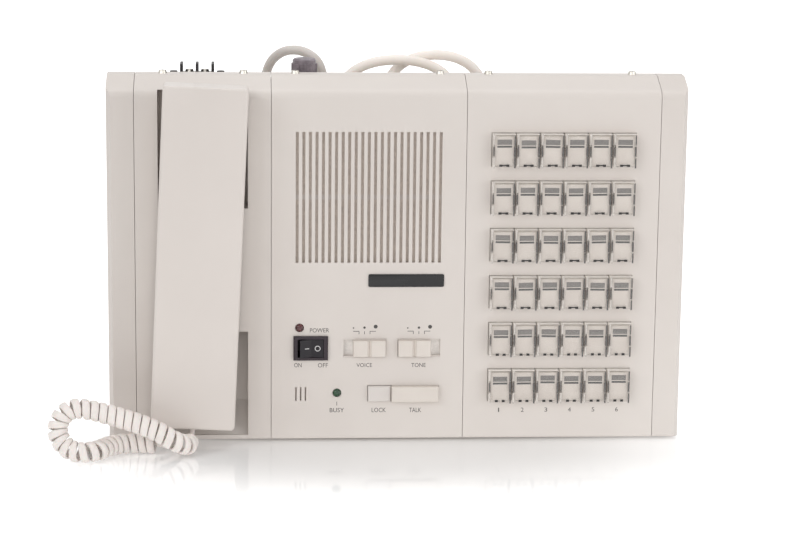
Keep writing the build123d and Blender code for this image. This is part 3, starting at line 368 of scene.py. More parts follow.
def mesh_from(curve):
    """The mesh of a curve or a text, by way of an object that is taken out again."""
    carrier = add_object("carrier", curve)
    mesh = bpy.data.meshes.new_from_object(carrier.evaluated_get(bpy.context.evaluated_depsgraph_get()))
    bpy.data.objects.remove(carrier)
    return mesh


# %% [markdown]
# ## The curly cord
# A handset cord is a flat band wound into a helix. It leaves the handset's lower end, stands up in a springy loop
# beside the console, runs back behind itself and plugs into its jack in the cover. Its route is one smooth spline,
# the helix is worked out round points read from it, and the band's flat side always faces the helix's middle.

# %% The cord's route
def route_curve(name, points):
    """A smooth curve of one open spline, with the route's points as its control points."""
    curve = bpy.data.curves.new(name, "CURVE")
    curve.dimensions = "3D"
    curve.resolution_u = 16
    spline = curve.splines.new("NURBS")
    spline.points.add(len(points) - 1)
    for point, place in zip(spline.points, points):
        point.co = (*place, 1)
    spline.order_u = 3
    spline.use_endpoint_u = True
    return curve


def line_of(points):
    """Points along the route's own smooth spline."""
    mesh = mesh_from(route_curve("route", points))
    found = [vertex.co.copy() for vertex in mesh.vertices]
    bpy.data.meshes.remove(mesh)
    return found


def length_of(points):
    """The length of a line of points."""
    return sum((b - a).length for a, b in zip(points, points[1:]))


def walker(points):
    """A function that gives the place and direction at any distance along a line of points, and its length."""
    steps = [(b - a).length for a, b in zip(points, points[1:])]
    marks = [0.0]
    for step in steps:
        marks.append(marks[-1] + step)

    def at(distance):
        distance = min(max(distance, 0.0), marks[-1])
        i = max(k for k in range(len(steps)) if marks[k] <= distance + 1e-12)
        share = (distance - marks[i]) / steps[i] if steps[i] else 0.0
        ahead = points[min(i + 2, len(points) - 1)] - points[max(i - 1, 0)]
        return points[i].lerp(points[i + 1], share), ahead.normalized()
    return at, marks[-1]


handset_route = [console_place(*point) for point in (
    (-124.1, -13.0, 13.7), (-124.2, -13.4, 7.8), (-125.0, -20.5, 6.5), (-125.9, -30.5, 7.0), (-129.4, -36.5, 8.7),
    (-135.4, -40.0, 12.3), (-142.2, -39.8, 16.8), (-150.7, -38.8, 20.6), (-159.3, -38.0, 23.5), (-167.9, -37.5, 26.1),
    (-176.7, -37.3, 28.7), (-185.4, -37.3, 31.0), (-195.1, -37.6, 31.9), (-202.2, -38.6, 26.0), (-203.8, -40.3, 17.0),
    (-199.2, -42.8, 9.6), (-192.7, -45.0, 6.9), (-186.0, -45.4, 6.8), (-179.9, -42.2, 6.8), (-176.3, -36.3, 6.8),
    (-172.4, -30.5, 6.8), (-166.5, -26.6, 6.8), (-158.0, -25.0, 6.8), (-149.5, -25.0, 6.8), (-141.5, -25.2, 5.6),
    (-135.0, -23.5, 3.4), (-131.8, -17.8, 2.4), (-134.5, -11.9, 2.4), (-141.5, -10.4, 3.6), (-148.2, -10.2, 6.2),
    (-151.0, -6.0, 8.2), (-151.0, 0.7, 8.5),
)]
cord_at, cord_long = walker(line_of(handset_route))
print("curly cord's route", round(cord_long, 4), "m")

# %% [markdown]
# The curls open over one turn at each end. Round each point of the helix goes an oval of ten corners: wide along
# the cord, thin across it. Inside a bend the turns crowd together, so the band is narrowed there to the room it has.

# %% Wind the band
CURLS, STEPS, CORNERS = 34, 22, 10
CURL_START, CURL_END = 15 * MM, 46 * MM
START_STEPS, END_STEPS = 9, 24
CURL_OUTER = 12.4 * MM
BAND_WIDE, BAND_THICK = 4.7 * MM, 2.3 * MM
END_RADIUS = 1.4 * MM
ROOM_USED = 0.92
SQUARENESS = 0.3


def smooth_step(value):
    value = min(max(value, 0.0), 1.0)
    return value * value * (3 - 2 * value)


def helix_points():
    """The band's middle line and, at each point, which way is outwards and how far the curls are open."""
    reach = (CURL_OUTER - BAND_THICK) / 2
    curled = cord_long - CURL_START - CURL_END
    total = CURLS * STEPS
    out = Vector((0, 0, 1))
    found = [(cord_at(CURL_START * i / START_STEPS)[0], out, 0.0) for i in range(START_STEPS)]
    for i in range(total + 1):
        place, along = cord_at(CURL_START + curled * i / total)
        out = (out - along * out.dot(along)).normalized()
        opened = smooth_step(min(i, total - i) / STEPS)
        angle = 2 * math.pi * i / STEPS
        away = out * math.cos(angle) + along.cross(out) * math.sin(angle)
        found.append((place + away * reach * opened, away, opened))
    for i in range(1, END_STEPS + 1):
        found.append((cord_at(cord_long - CURL_END * (1 - i / END_STEPS))[0], out, 0.0))
    return found


def oval_corner(corner, squareness):
    """A corner's share of the oval's half width and half thickness; the squarer, the fuller the oval."""
    angle = 2 * math.pi * (corner + 0.5) / CORNERS
    return [math.copysign(abs(part) ** (1 - squareness), part) for part in (math.cos(angle), math.sin(angle))]


def band_mesh(points):
    """Rings of an oval bridged along the points, closed at both ends."""
    bm = bmesh.new()
    rings = []
    for k, (place, away, opened) in enumerate(points):
        room = min(
            (place - points[other][0]).length for other in (k - STEPS, k + STEPS) if 0 <= other < len(points)
        )
        along = (points[min(k + 1, len(points) - 1)][0] - points[max(k - 1, 0)][0]).normalized()
        outwards = (away - along * away.dot(along)).normalized()
        aside = along.cross(outwards)
        wide = END_RADIUS + (min(BAND_WIDE, room * ROOM_USED) / 2 - END_RADIUS) * opened
        thick = END_RADIUS + (BAND_THICK / 2 - END_RADIUS) * opened
        ring = []
        for corner in range(CORNERS):
            across, outer = oval_corner(corner, SQUARENESS * opened)
            ring.append(bm.verts.new(place + aside * across * wide + outwards * outer * thick))
        rings.append(ring)
    for first, second in zip(rings, rings[1:]):
        for c in range(CORNERS):
            bm.faces.new((first[c], first[(c + 1) % CORNERS], second[(c + 1) % CORNERS], second[c]))
    bm.faces.new(rings[0][::-1])
    bm.faces.new(rings[-1])
    return bm


helix = helix_points()
curly_cord = place_piece(
    band_mesh(helix), "curly_handset_cord", curly_jacket, slot="curly_cord_jacket", sharp=60,
)

# %% [markdown]
# The cord ends in a small modular plug with its latch, seated in the jack.

# %% The plug in the jack
JACK_X, JACK_HEIGHT = -151.0, 8.5
modular = bmesh.new()
box_into(modular, console_place(JACK_X, 4.0, JACK_HEIGHT), (6.8, 5.6, 5.4), 0.4)
box_into(modular, console_place(JACK_X, 2.6, JACK_HEIGHT + 3.0), (2.6, 3.2, 0.7), 0.15)
jack_plug = place_piece(modular, "handset_cord_plug", key_plastic, slot="curly_cord_jacket")
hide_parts("handset_cord")
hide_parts("handset_cord")

# %% [markdown]
# ## The mains lead
# It rises from its sleeve, turns over in a tight arch beside the fuse cap and drops behind the housing. The length
# that the picture doesn't show is put away in a neat two-layer coil behind the console, with its plug beside it.
# The lead winds inwards in the lower layer, climbs over half a turn and winds outwards again in the upper one.

# %% The lead as one spline
LEAD_WIDE = 6.0 * MM
COIL_TURNS, COIL_STEPS = 6.25, 20
COIL_X, COIL_DEPTH, COIL_RADIUS = -53.0, 130.0, 42.0
COIL_PITCH, COIL_LOW, COIL_LAYER, COIL_CLIMB = 6.7, 3.1, 6.5, 0.5
lead_route = [console_place(*point) for point in (
    (-43.2, 64.5, 207.6), (-43.2, 64.8, 221.9), (-53.6, 67.5, 232.4), (-68.4, 74.0, 232.4), (-78.6, 81.5, 221.5),
    (-79.7, 86.0, 203.0), (-79.9, 87.5, 168.0), (-79.0, 88.0, 118.0), (-79.4, 88.5, 72.0), (-81.5, 90.5, 36.0),
    (-85.5, 94.5, 14.0), (-91.0, 102.0, 4.4), (-95.0, 113.0, 3.1), (-95.0, 123.9, 3.1),
)]
for i in range(1, round(COIL_TURNS * COIL_STEPS) + 1):
    turned = i / COIL_STEPS
    radius = COIL_RADIUS - COIL_PITCH * min(turned, COIL_TURNS - turned)
    height = COIL_LOW + COIL_LAYER * smooth_step((turned - COIL_TURNS / 2) / COIL_CLIMB + 0.5)
    angle = math.pi - 2 * math.pi * turned
    lead_route.append(console_place(COIL_X + radius * math.cos(angle), COIL_DEPTH + radius * math.sin(angle), height))
lead_route += [console_place(x, COIL_DEPTH + COIL_RADIUS, COIL_LOW + COIL_LAYER) for x in (-50.0, -47.0)]


def cable(name, route, diameter, jacket_material):
    """A round cable along a route, as a bevelled curve that rides on the console."""
    curve = route_curve(name, route)
    curve.bevel_depth = diameter / 2
    curve.bevel_resolution = 4
    curve.use_fill_caps = True
    curve.materials.append(jacket_material)
    piece = add_object(name, curve)
    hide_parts("rear_cables")
    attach(piece, "console")
    return piece, length_of(line_of(route))


mains_lead, lead_long = cable("mains_lead", lead_route, LEAD_WIDE, lead_jacket)
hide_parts("mains_lead_coil")
print("mains lead", round(lead_long, 3), "m")

# %% [markdown]
# The plug's body is one moulding on the lead, and its pins are plated. The CAD solid has the right shape, so a
# merged copy of it is used, and its pins get their own metal.

# %% The mains plug
PIN_LONG = 19 * MM
pins_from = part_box("mains_plug")[1].x - PIN_LONG + 0.02 * MM
moulding = merged_copy("mains_plug")
for face in moulding.faces:
    if face.calc_center_median().x > pins_from:
        face.material_index = 1
mains_plug = place_piece(moulding, "two_pin_plug", lead_jacket, screw_zinc, slot="cable_jacket")
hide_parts("mains_plug")

# %% [markdown]
# Two thick link cables join the modules behind. Each leaves one sleeve on the ledge in a low arch and goes down
# into the next, so their ends are in the object.

# %% The two link cables
LINK_WIDE = 6.3 * MM
SLEEVE_TOP = 197.6
ARCH = ((1.0, 0.0), (1.0, 0.3), (0.9, 0.62), (0.68, 0.87), (0.36, 1.02), (0.0, 1.06))
arch = [(-out, up) for out, up in ARCH[:-1]] + list(ARCH[::-1])
for name, ends, depth, crown in (
    ("front_link_cable", (-34.4, 39.1), 60.5, 226.3),
    ("rear_link_cable", (-4.9, 57.7), 68.5, 228.4),
):
    middle, half, rise = sum(ends) / 2, (ends[1] - ends[0]) / 2, crown - SLEEVE_TOP
    route = [console_place(middle + half * out, depth, SLEEVE_TOP + rise * up) for out, up in arch]
    link, link_long = cable(name, route, LINK_WIDE, link_jacket)
    print(name, round(link_long, 3), "m")

# %% [markdown]
# ## Finishes on the CAD nodes
# Covers, caps, handset, buttons, housing and cover screws have their right shape in CAD, so they only take their
# material.

# %% Dress the CAD nodes
for material, *names in (
    (cover_plastic, "handset_module_cover", "speaker_module_cover", "key_module_cover", "hook_plunger"),
    (cap_plastic, "end_caps"),
    (handset_plastic, "handset_outer_shell", "handset_inner_shell"),
    (knob_plastic, "voice_knob", "tone_knob"),
    (button_plastic, "talk_button"),
    (lock_plastic, "lock_button"),
    (bezel_plastic, "power_switch_frame"),
    (fuse_plastic, "fuse_cap"),
    (rocker_plastic, "power_rocker"),
    (housing_paint, "rear_housing"),
    (speaker_steel, "loudspeaker"),
    (relief_jacket, "strain_reliefs"),
    (screw_zinc, "cover_screws"),
):
    for name in names:
        nodes[name].data.materials.clear()
        nodes[name].data.materials.append(material)

# %% [markdown]
# ## The station keys
# Each key is a cream base that carries a paper card under a clear snap-on cap. The CAD solids are copied apart, so
# base and cap take different finishes. The cap's front is nearly clear. Its walls are painted grey and broken up,
# with the right wall painted darker than the left: painted refraction and shade, standing in for looking along them
# through more plastic. They also get a faint painted glow, standing in for the light that clear plastic leads to its
# edges.

# %% Clear plastic
# Strength of the painted glow on the caps' walls, standing in for light that clear plastic leads to its edges.
PAINTED_WALL_GLOW = 0.14


def clear_plastic(name, roughness, alpha, light, dark, scale, along=None, sway=0.1, stops=()):
    """Clear plastic as a thin veil; along a UV direction it can take painted refraction stripes, bright and dark, and
    a faint painted glow.
    """
    material, shader = finish(name, roughness, Alpha=alpha, IOR=1.49, Specular_IOR_Level=0.9)
    if along is None:
        mottled(material, shader, light, dark, scale)
        return material
    shader.inputs["Emission Strength"].default_value = PAINTED_WALL_GLOW
    unwrapped = add_node(material, "ShaderNodeUVMap", uv_map="cap_place")
    split = add_node(material, "ShaderNodeSeparateXYZ")
    place = add_node(material, "ShaderNodeTexCoord")
    noise = add_node(material, "ShaderNodeTexNoise", Scale=scale, Detail=3.0)
    shift = add_node(material, "ShaderNodeMath", operation="MULTIPLY_ADD")
    shift.inputs[1].default_value = sway
    stripes = color_ramp(material, *[(position, light if bright else dark) for position, bright in stops])
    wire(
        material, (unwrapped, "UV", split, 0), (place, "Object", noise, "Vector"), (noise, "Fac", shift, 0),
        (split, along, shift, 2), (shift, "Value", stripes, "Fac"), (stripes, "Color", shader, "Base Color"),
        (stripes, "Color", shader, "Emission Color"),
    )
    return material


# The walls' stripes are painted refraction. The right wall is painted darker than the left, as shade, and the top's
# light middle and dark edges are painted highlight and shade.
clear_walls = (
    clear_plastic("clear_cap_front", 0.07, 0.07, (244, 241, 236), (232, 229, 224), 300),
    clear_plastic(
        "clear_cap_left_wall", 0.12, 0.62, (240, 234, 228), (176, 168, 162), 900, along="Y",
        stops=((0.34, 1), (0.38, 0), (0.62, 0), (0.68, 1)),
    ),
    clear_plastic(
        "clear_cap_right_wall", 0.12, 0.45, (224, 217, 211), (126, 118, 113), 900, along="Y",
        stops=((0.34, 0), (0.38, 1), (0.42, 0), (0.80, 0), (0.90, 1)),
    ),
    clear_plastic(
        "clear_cap_top", 0.10, 0.8, (246, 241, 236), (128, 120, 115), 500, along="X", sway=0.05,
        stops=((0.12, 0), (0.2, 1), (0.84, 1), (0.92, 0)),
    ),
    clear_plastic("clear_cap_foot", 0.10, 0.16, (240, 236, 231), (228, 224, 219), 300),
)
# Materials for the painted light and painted shade bands at the caps' front edges.
painted_light_band = clear_plastic("cap_light_band", 0.10, 0.8, (228, 221, 214), (186, 178, 171), 1500)
painted_shade_band = clear_plastic("cap_dark_band", 0.10, 0.88, (86, 78, 75), (50, 45, 43), 1500)

# %% [markdown]
# The card has a small hatched field near its top with a heavy line under it. The hatching is a fine weave of two
# wave textures, far too small to read as anything.

# %% Card paper and its hatched field
card_paper = plastic("card_paper", (215, 206, 198), (208, 198, 190), 120, 1800, 0.00002, 0.62, 0.75)
hatch_ink, shader = finish("hatch_ink", 0.6)
place = add_node(hatch_ink, "ShaderNodeTexCoord")
level = add_node(hatch_ink, "ShaderNodeTexWave", bands_direction="Z", Scale=420.0, Distortion=0.4)
upright = add_node(hatch_ink, "ShaderNodeTexWave", bands_direction="X", Scale=560.0, Distortion=0.4)
weave = add_node(hatch_ink, "ShaderNodeMath", operation="MULTIPLY")
tones = color_ramp(hatch_ink, (0.0, (66, 62, 60)), (1.0, (176, 170, 166)))
wire(
    hatch_ink, (place, "Object", level, "Vector"), (place, "Object", upright, "Vector"), (level, "Fac", weave, 0),
    (upright, "Fac", weave, 1), (weave, "Value", tones, "Fac"), (tones, "Color", shader, "Base Color"),
)

# %% [markdown]
# Inks are thin raised layers, a few hundredths of a millimetre thick. Helpers draw flat bars, crosses, dots and
# rings in X and Y, and another gives the drawing its thickness and lays it on a face of the console.

# %% Flat marks
INK = 0.03
FRONT = axes((1, 0, 0), (0, 0, 1), (0, -1, 0))
REAR = axes((-1, 0, 0), (0, 0, 1), (0, 1, 0))


def bar_into(bm, x, y, wide, tall, index=0, angle=0.0):
    """Adds a flat bar by its middle and size, turned by an angle, with the index of its material."""
    made = bmesh.ops.create_grid(bm, x_segments=1, y_segments=1, size=0.5 * MM)["verts"]
    bmesh.ops.scale(bm, vec=(wide, tall, 1), verts=made)
    bmesh.ops.rotate(bm, matrix=Matrix.Rotation(angle, 3, "Z"), verts=made)
    bmesh.ops.translate(bm, vec=(x * MM, y * MM, 0), verts=made)
    for face in {face for vert in made for face in vert.link_faces}:
        face.material_index = index


def cross_into(bm, x, y, wide, tall, angle):
    """Adds two crossed bars."""
    for turned in (angle, angle + math.pi / 2):
        bar_into(bm, x, y, wide, tall, 0, turned)


def dot_into(bm, x, y, radius):
    made = bmesh.ops.create_circle(bm, cap_ends=True, segments=24, radius=radius * MM)["verts"]
    bmesh.ops.translate(bm, vec=(x * MM, y * MM, 0), verts=made)


def verts_of(geometry):
    return [item for item in geometry if isinstance(item, bmesh.types.BMVert)]


def ring_into(bm, radius, width):
    """Adds a flat ring round the origin, by its outer radius and its width."""
    inner = bmesh.ops.create_circle(bm, cap_ends=False, segments=32, radius=(radius - width) * MM)["verts"]
    rim = list({edge for vert in inner for edge in vert.link_edges})
    share = radius / (radius - width)
    outer = verts_of(bmesh.ops.extrude_edge_only(bm, edges=rim)["geom"])
    bmesh.ops.scale(bm, vec=(share, share, 1), verts=outer)


def thicken(bm, height):
    """Gives all flat faces a thickness towards +Z."""
    raised = bmesh.ops.extrude_face_region(bm, geom=list(bm.faces))["geom"]
    bmesh.ops.translate(bm, vec=(0, 0, height * MM), verts=verts_of(raised))


def lay(bm, place, turn):
    """Turns what is drawn in X and Y and moves it to its place."""
    bmesh.ops.transform(bm, matrix=Matrix.Translation(place) @ turn, verts=bm.verts)


def lay_marks(bm, name, place, *materials, body="console", turn=FRONT):
    """Gives flat marks their thickness and lays them at a place, as a piece on a body."""
    thicken(bm, INK)
    lay(bm, place, turn)
    return place_piece(bm, name, *materials, body=body, sharp=20)


# %% [markdown]
# Each card sits a little askew and a little high or low, as hand-fitted cards do. Along both edges of a cap's front,
# thin bands of painted light and painted shade by turns stand in for the light that the plastic bends there, and a
# small patch of painted shade at the foot stands for the notch where the cap is lifted off. The two lowest rows show
# no bar between the notch's ends.

# %% Build the 36 keys
CARD_FRONT = 4.8
CARD_WIDE, CARD_BARS = 8.8, ((5.0, 3.2), (2.3, 1.2))
CAP_DEEP = 6 * MM
BAND_INSET = 0.24
NOTCH_X, NOTCH_UP, NOTCH_SIZE = 2.1, -8.8, (1.9, 1.4)
NOTCH_SHADE_BAR = (0, -8.6, 2.3, 0.7)
PAINTED_EDGE_BANDS = (
    (-1, 1.0, 0.04, 0.33, 0), (-1, 0.7, 0.37, 0.62, 1), (-1, 1.0, 0.67, 0.96, 0),
    (1, 0.9, 0.04, 0.31, 1), (1, 1.1, 0.35, 0.62, 1), (1, 0.8, 0.66, 0.92, 1),
)


def wall_index(normal):
    """The index in clear_walls by which way a face looks: front or back, left, right, top or foot."""
    if abs(normal.y) > 0.8:
        return 0
    if abs(normal.z) < 0.6:
        return 1 if normal.x < 0 else 2
    return 3 if normal.z > 0 else 4


def make_key(row, column):
    node, body = f"key_row{row}_column{column}", f"station_row{row}_column{column}"
    cap, base = solids_of(node)
    low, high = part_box(node)
    for face in cap.faces:
        face.material_index = wall_index(face.normal)
    soften(cap, 0.22)
    cap_place = cap.loops.layers.uv.new("cap_place")
    for face in cap.faces:
        for corner in face.loops:
            spot = corner.vert.co
            corner[cap_place].uv = ((spot.y - low.y) / CAP_DEEP, (spot.z - low.z) / (high.z - low.z))
    soften(base, 0.15)
    for face in base.faces:
        if face.calc_center_median().y < FACE_Y - (CARD_FRONT - 0.05) * MM:
            face.material_index = 1
    cap_piece = place_piece(cap, f"key_cap_{row}_{column}", *clear_walls, body=body, slot="key_plastic")
    base_piece = place_piece(base, f"key_base_{row}_{column}", key_plastic, card_paper, body=body, slot="key_plastic")
    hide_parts(node)
    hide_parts(node)
    middle = Vector(((low.x + high.x) / 2, FACE_Y - CARD_FRONT * MM, (low.z + high.z) / 2))
    card = bmesh.new()
    tilt, slip = math.radians(random.uniform(-1.2, 1.2)), random.uniform(-0.35, 0.35)
    for index, (up, tall) in enumerate(CARD_BARS):
        bar_into(card, 0.1, up + slip, CARD_WIDE, tall, index, tilt)
    lay_marks(card, f"key_card_{row}_{column}", middle, hatch_ink, black_ink_and_painted_shade, body=body)
    bands = bmesh.new()
    half, tall = (high.x - low.x) / 2 / MM, (high.z - low.z) / MM
    # Painted light and shade bands along the cap's front edges.
    for side, wide, start, end, dark in PAINTED_EDGE_BANDS:
        inset = half - wide / 2 - BAND_INSET
        bar_into(bands, side * inset, ((start + end) / 2 - 0.5) * tall, wide, (end - start) * tall, dark)
    # Painted shade: dark patches for the notch at the cap's foot.
    for side in (-1, 1):
        bar_into(bands, side * NOTCH_X, NOTCH_UP, *NOTCH_SIZE, 2)
    if row < 5:
        bar_into(bands, *NOTCH_SHADE_BAR, 2)
    edge = Vector((middle.x, low.y, middle.z))
    lay_marks(bands, f"key_edge_{row}_{column}", edge, painted_light_band, painted_shade_band, black_ink_and_painted_shade, body=body)


random.seed(6)
for row in range(1, 7):
    for column in range(1, 7):
        make_key(row, column)

# %% [markdown]
# ## Printed words and digits
# Function words are set in a plain sans face, each scaled to the height and width it has on the panel. Text is
# made a mesh first, and then it is laid on the cover's face.

# %% Set the words
def word_into(bm, text, left, right, low, high):
    """Adds a word between two edges, with its capitals between two heights."""
    curve = bpy.data.curves.new("word", "FONT")
    curve.body = text
    curve.resolution_u = 3
    mesh = mesh_from(curve)
    xs, ys = [v.co.x for v in mesh.vertices], [v.co.y for v in mesh.vertices]
    fit = Matrix.Diagonal((
        (right - left) * MM / (max(xs) - min(xs)), (high - low) * MM / (max(ys) - min(ys)), 1, 1,
    ))
    mesh.transform(Matrix.Translation((left * MM, low * MM, 0)) @ fit @ Matrix.Translation((-min(xs), -min(ys), 0)))
    bm.from_mesh(mesh)
    bpy.data.meshes.remove(mesh)


words = bmesh.new()
for text, left, right, low, high in (
    ("POWER", -53.0, -41.3, 67.1, 69.7), ("ON", -62.5, -58.0, 45.3, 48.0), ("OFF", -48.1, -41.9, 45.2, 47.9),
    ("VOICE", -24.5, -15.0, 45.3, 47.8), ("TONE", 9.0, 17.8, 45.2, 47.7), ("BUSY", -40.7, -32.0, 16.9, 19.6),
    ("LOCK", -15.0, -6.3, 16.8, 19.6), ("TALK", 8.0, 15.4, 16.7, 19.5),
):
    word_into(words, text, left, right, low, high)
for digit, middle in zip("123456", (63.1, 77.7, 92.3, 106.9, 121.5, 136.1)):
    wide = 0.7 if digit == "1" else 1.7
    word_into(words, digit, middle - wide / 2, middle + wide / 2, 16.5, 19.2)
bmesh.ops.remove_doubles(words, verts=words.verts, dist=0.000001)
lay_marks(words, "printed_words", cover_place(0, 0, 0), grey_ink)

# %% [markdown]
# The floor of each slide's recess, round the slot that its stem runs in, is painted pale: painted light that takes
# out the shade in the recess. A dust lip stands over and under each knob, and a fine one over the talk button, so
# that no deep dark gap shows there.

# %% Paint light on the recess floors and add the lips
SLIDE_MIDDLES, SLIDE_HEIGHT, RECESS_DEEP = (-19.5, 13.5), 57.3, 3.0
LIP_SIZE, LIP_AWAY = (25.8, 2.6, 0.8), 5.42
floors, lips = bmesh.new(), bmesh.new()
for middle in SLIDE_MIDDLES:
    for side in (-1, 1):
        bar_into(floors, middle + side * 9.9, SLIDE_HEIGHT, 6.0, 11.4)
        bar_into(floors, middle, SLIDE_HEIGHT + side * 3.7, 13.8, 4.0)
        box_into(lips, cover_place(middle, 1.65, SLIDE_HEIGHT + side * LIP_AWAY), LIP_SIZE)
box_into(lips, cover_place(11.25, 0.6, 33.65), (28.4, 0.9, 0.2))
# The pale ink on the recess floors is painted light.
lay_marks(floors, "slide_floors_painted_light", cover_place(0, RECESS_DEEP, 0), painted_light_ink)
place_piece(lips, "dust_lips", cap_plastic, slot="cover_plastic")

# %% [markdown]
# Over each slide there are three dots that grow from soft to loud, each with a thin bracket that points at its
# place on the slide. A short tick joins the green lamp to its word.

# %% Dots, brackets and the tick
LINE = 0.35
BRACKET_TOP, BRACKET_FOOT = 67.7, 65.9
marks = bmesh.new()
for dots in (
    ((-26.5, 69.8), (-19.8, 70.0), (-13.0, 70.6)),
    ((6.6, 69.7), (13.4, 69.9), (20.2, 70.4)),
):
    for (x, height), radius, step in zip(dots, (0.45, 0.75, 1.2), (3.4, 0.0, -3.4)):
        dot_into(marks, x, height, radius)
        bar_into(marks, x + step, (BRACKET_TOP + BRACKET_FOOT) / 2, LINE, BRACKET_TOP - BRACKET_FOOT)
        if step:
            bar_into(marks, x + step / 2, BRACKET_TOP, abs(step) + LINE, LINE)
bar_into(marks, -36.4, 22.4, LINE, 2.4)
lay_marks(marks, "printed_marks", cover_place(0, 0, 0), grey_ink)

# %% [markdown]
# The rocker's two faces slope away from its ridge, so each mark is laid in the plane of its own face and rides on
# the rocker. The switch sits on its side here, so the stroke of the on mark is level.

# %% Marks on the rocker
SWITCH_X, SWITCH_HEIGHT = -52.5, 57.4
LEAN, HINGE = math.radians(8), 1.4


def leaned(x, depth):
    """A point of the rocker's outline after it is tipped, in millimetres."""
    behind = depth - HINGE
    return Vector((
        x * math.cos(LEAN) - behind * math.sin(LEAN), HINGE + x * math.sin(LEAN) + behind * math.cos(LEAN), 0,
    ))


for name, start, end, share, ring in (
    ("rocker_on_mark", (-7.2, -3.0), (0, -1.4), 0.62, False),
    ("rocker_off_mark", (0, -1.4), (7.2, -3.0), 0.52, True),
):
    first, last = leaned(*start), leaned(*end)
    run = (last - first).normalized()
    spot = first.lerp(last, share)
    marks = bmesh.new()
    if ring:
        ring_into(marks, 1.75, 0.45)
    else:
        bar_into(marks, 0, 0, 2.7, 0.5)
    lay_marks(
        marks, name, cover_place(SWITCH_X + spot.x, spot.y, SWITCH_HEIGHT), white_ink, body="rocker",
        turn=axes(run, (0, 0, 1), (run.y, -run.x, 0)),
    )

# %% [markdown]
# ## The bare nameplate
# A dark lacquered plate sits under the grille. It is left plain, with a fine bevel round its edge.

# %% The nameplate
nameplate = bmesh.new()
box_into(nameplate, cover_place(5.3, -0.35, 99.3), (46.0, 0.7, 7.9))
round_edges(nameplate, edges_along(nameplate, 1), 1.0, segments=5)
soften(nameplate, 0.2, over=60)
place_piece(nameplate, "bare_nameplate", lacquer, slot="black_plastic")

# %% [markdown]
# ## Lamps
# Both lamps are small domes of tinted plastic, unlit. The CAD solids are right, so each is copied by itself to
# get its own tint, and a slim pale rim is turned round its hole.

# %% Tinted domes and their rims
LAMP_RIM = ((2.62, 0.0), (2.72, -0.28), (3.05, -0.22), (3.3, 0.0))
lamps = sorted(solids_of("indicator_lamps"), key=lambda part: -max(v.co.z for v in part.verts))
for lamp, (name, light, dark) in zip(lamps, (
    ("red_lamp", (86, 6, 14), (52, 3, 8)), ("green_lamp", (12, 74, 36), (4, 46, 20)),
)):
    tint, shader = finish(f"{name}_tint", 0.16, Coat_Weight=0.25, Coat_Roughness=0.05)
    mottled(tint, shader, light, dark, 300)
    middle = sum((v.co for v in lamp.verts), Vector()) / len(lamp.verts)
    piece = place_piece(lamp, name, tint, slot="lamp_plastic", sharp=50)
    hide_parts("indicator_lamps")
    rim = bmesh.new()
    spin_into(rim, Vector((middle.x, FACE_Y, middle.z)), Vector((0, 1, 0)), LAMP_RIM, 40)
    place_piece(rim, f"{name}_rim", cap_plastic, slot="cover_plastic")

# %% [markdown]
# ## Behind the openings
# Pale felt is glued behind the grille, above and below its rib, and behind the microphone's slots. It keeps dust
# out, and it makes the openings look soft grey and not black.

# %% The felt screens
FELT_DEPTH = 2.62
felt = surface("screen_felt", (222, 211, 201), (206, 195, 186), 500, 1400, 0.0002, 0.85, 0.95, Sheen_Weight=0.3)
for name, x, height, size in (
    ("upper_felt_screen", -17.8, 171.2, (91.0, 40.0)),
    ("lower_felt_screen", -17.8, 129.2, (91.0, 40.0)),
    ("microphone_felt_screen", -58.5, 28.5, (10.0, 11.0)),
):
    cloth = bmesh.new()
    bmesh.ops.create_grid(cloth, x_segments=12, y_segments=6, size=0.5 * MM)
    bmesh.ops.scale(cloth, vec=(*size, 1), verts=cloth.verts)
    lay(cloth, cover_place(x, FELT_DEPTH, height), FRONT)
    screen = place_piece(cloth, name, felt)

# %% [markdown]
# ## Screws and the terminal strip
# The cover screws keep their CAD shape and gain a dark cross in each head: painted shade that stands for the cross
# recess. The strip's block is black, and its clamp plates and screws, which lie between the walls and above the
# block, are plated.

# %% Fasteners
crosses = bmesh.new()
for x, offset in ((-117.4, 24.4), (-17.8, 44.0), (99.6, 44.0)):
    for side in (-1, 1):
        cross_into(crosses, x + side * offset, 0, 3.0, 0.55, 0.5)
lay_marks(crosses, "screw_cross_painted_shade", cover_place(0, 26, 223.88), black_ink_and_painted_shade, turn=Matrix.Identity(4))

STRIP_X, STRIP_PITCH, STRIP_WALL, STRIP_END = -121.2, 9.5, 0.9, 10.0
BLOCK_TOP = 212.0 + 7.4
strip = merged_copy("terminal_strip")
for face in strip.faces:
    spot = face.calc_center_median()
    across = spot.x / MM - STRIP_X
    wall = any(abs(across - i * STRIP_PITCH) < STRIP_WALL for i in (-1, 0, 1))
    plated = spot.z > COVER_LIFT + (BLOCK_TOP + 0.05) * MM and abs(across) < STRIP_END
    face.material_index = 1 if plated and not wall else 0
strip_piece = place_piece(strip, "terminal_strip_dressed", strip_plastic, plate_steel, slot="strip_plastic")
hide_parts("terminal_strip")

# %% [markdown]
# ## The back
# The picture doesn't show the back, so it is kept simple: a painted plate with two groups of vent slots and six
# screws. The slots are faces of the plate's own grid, pushed in, and only the plate's four corners are rounded.

# %% The rear plate
BACK_DEPTH, PLATE_THICK, PLATE_HALF = 75.0, 1.0, 150.0
PLATE_ROWS = (12.0, 118.0, 158.0, 176.0)
VENTS, VENT_PITCH, VENT_HALF, VENT_DEEP = 12, 5.2, 1.2, 0.9
HEAD_TOP = PLATE_THICK + 1.97
REAR_SCREW = ((0, 2.0), (1.2, 1.95), (2.1, 1.7), (2.8, 1.1), (3.0, 0.5), (3.0, 0))
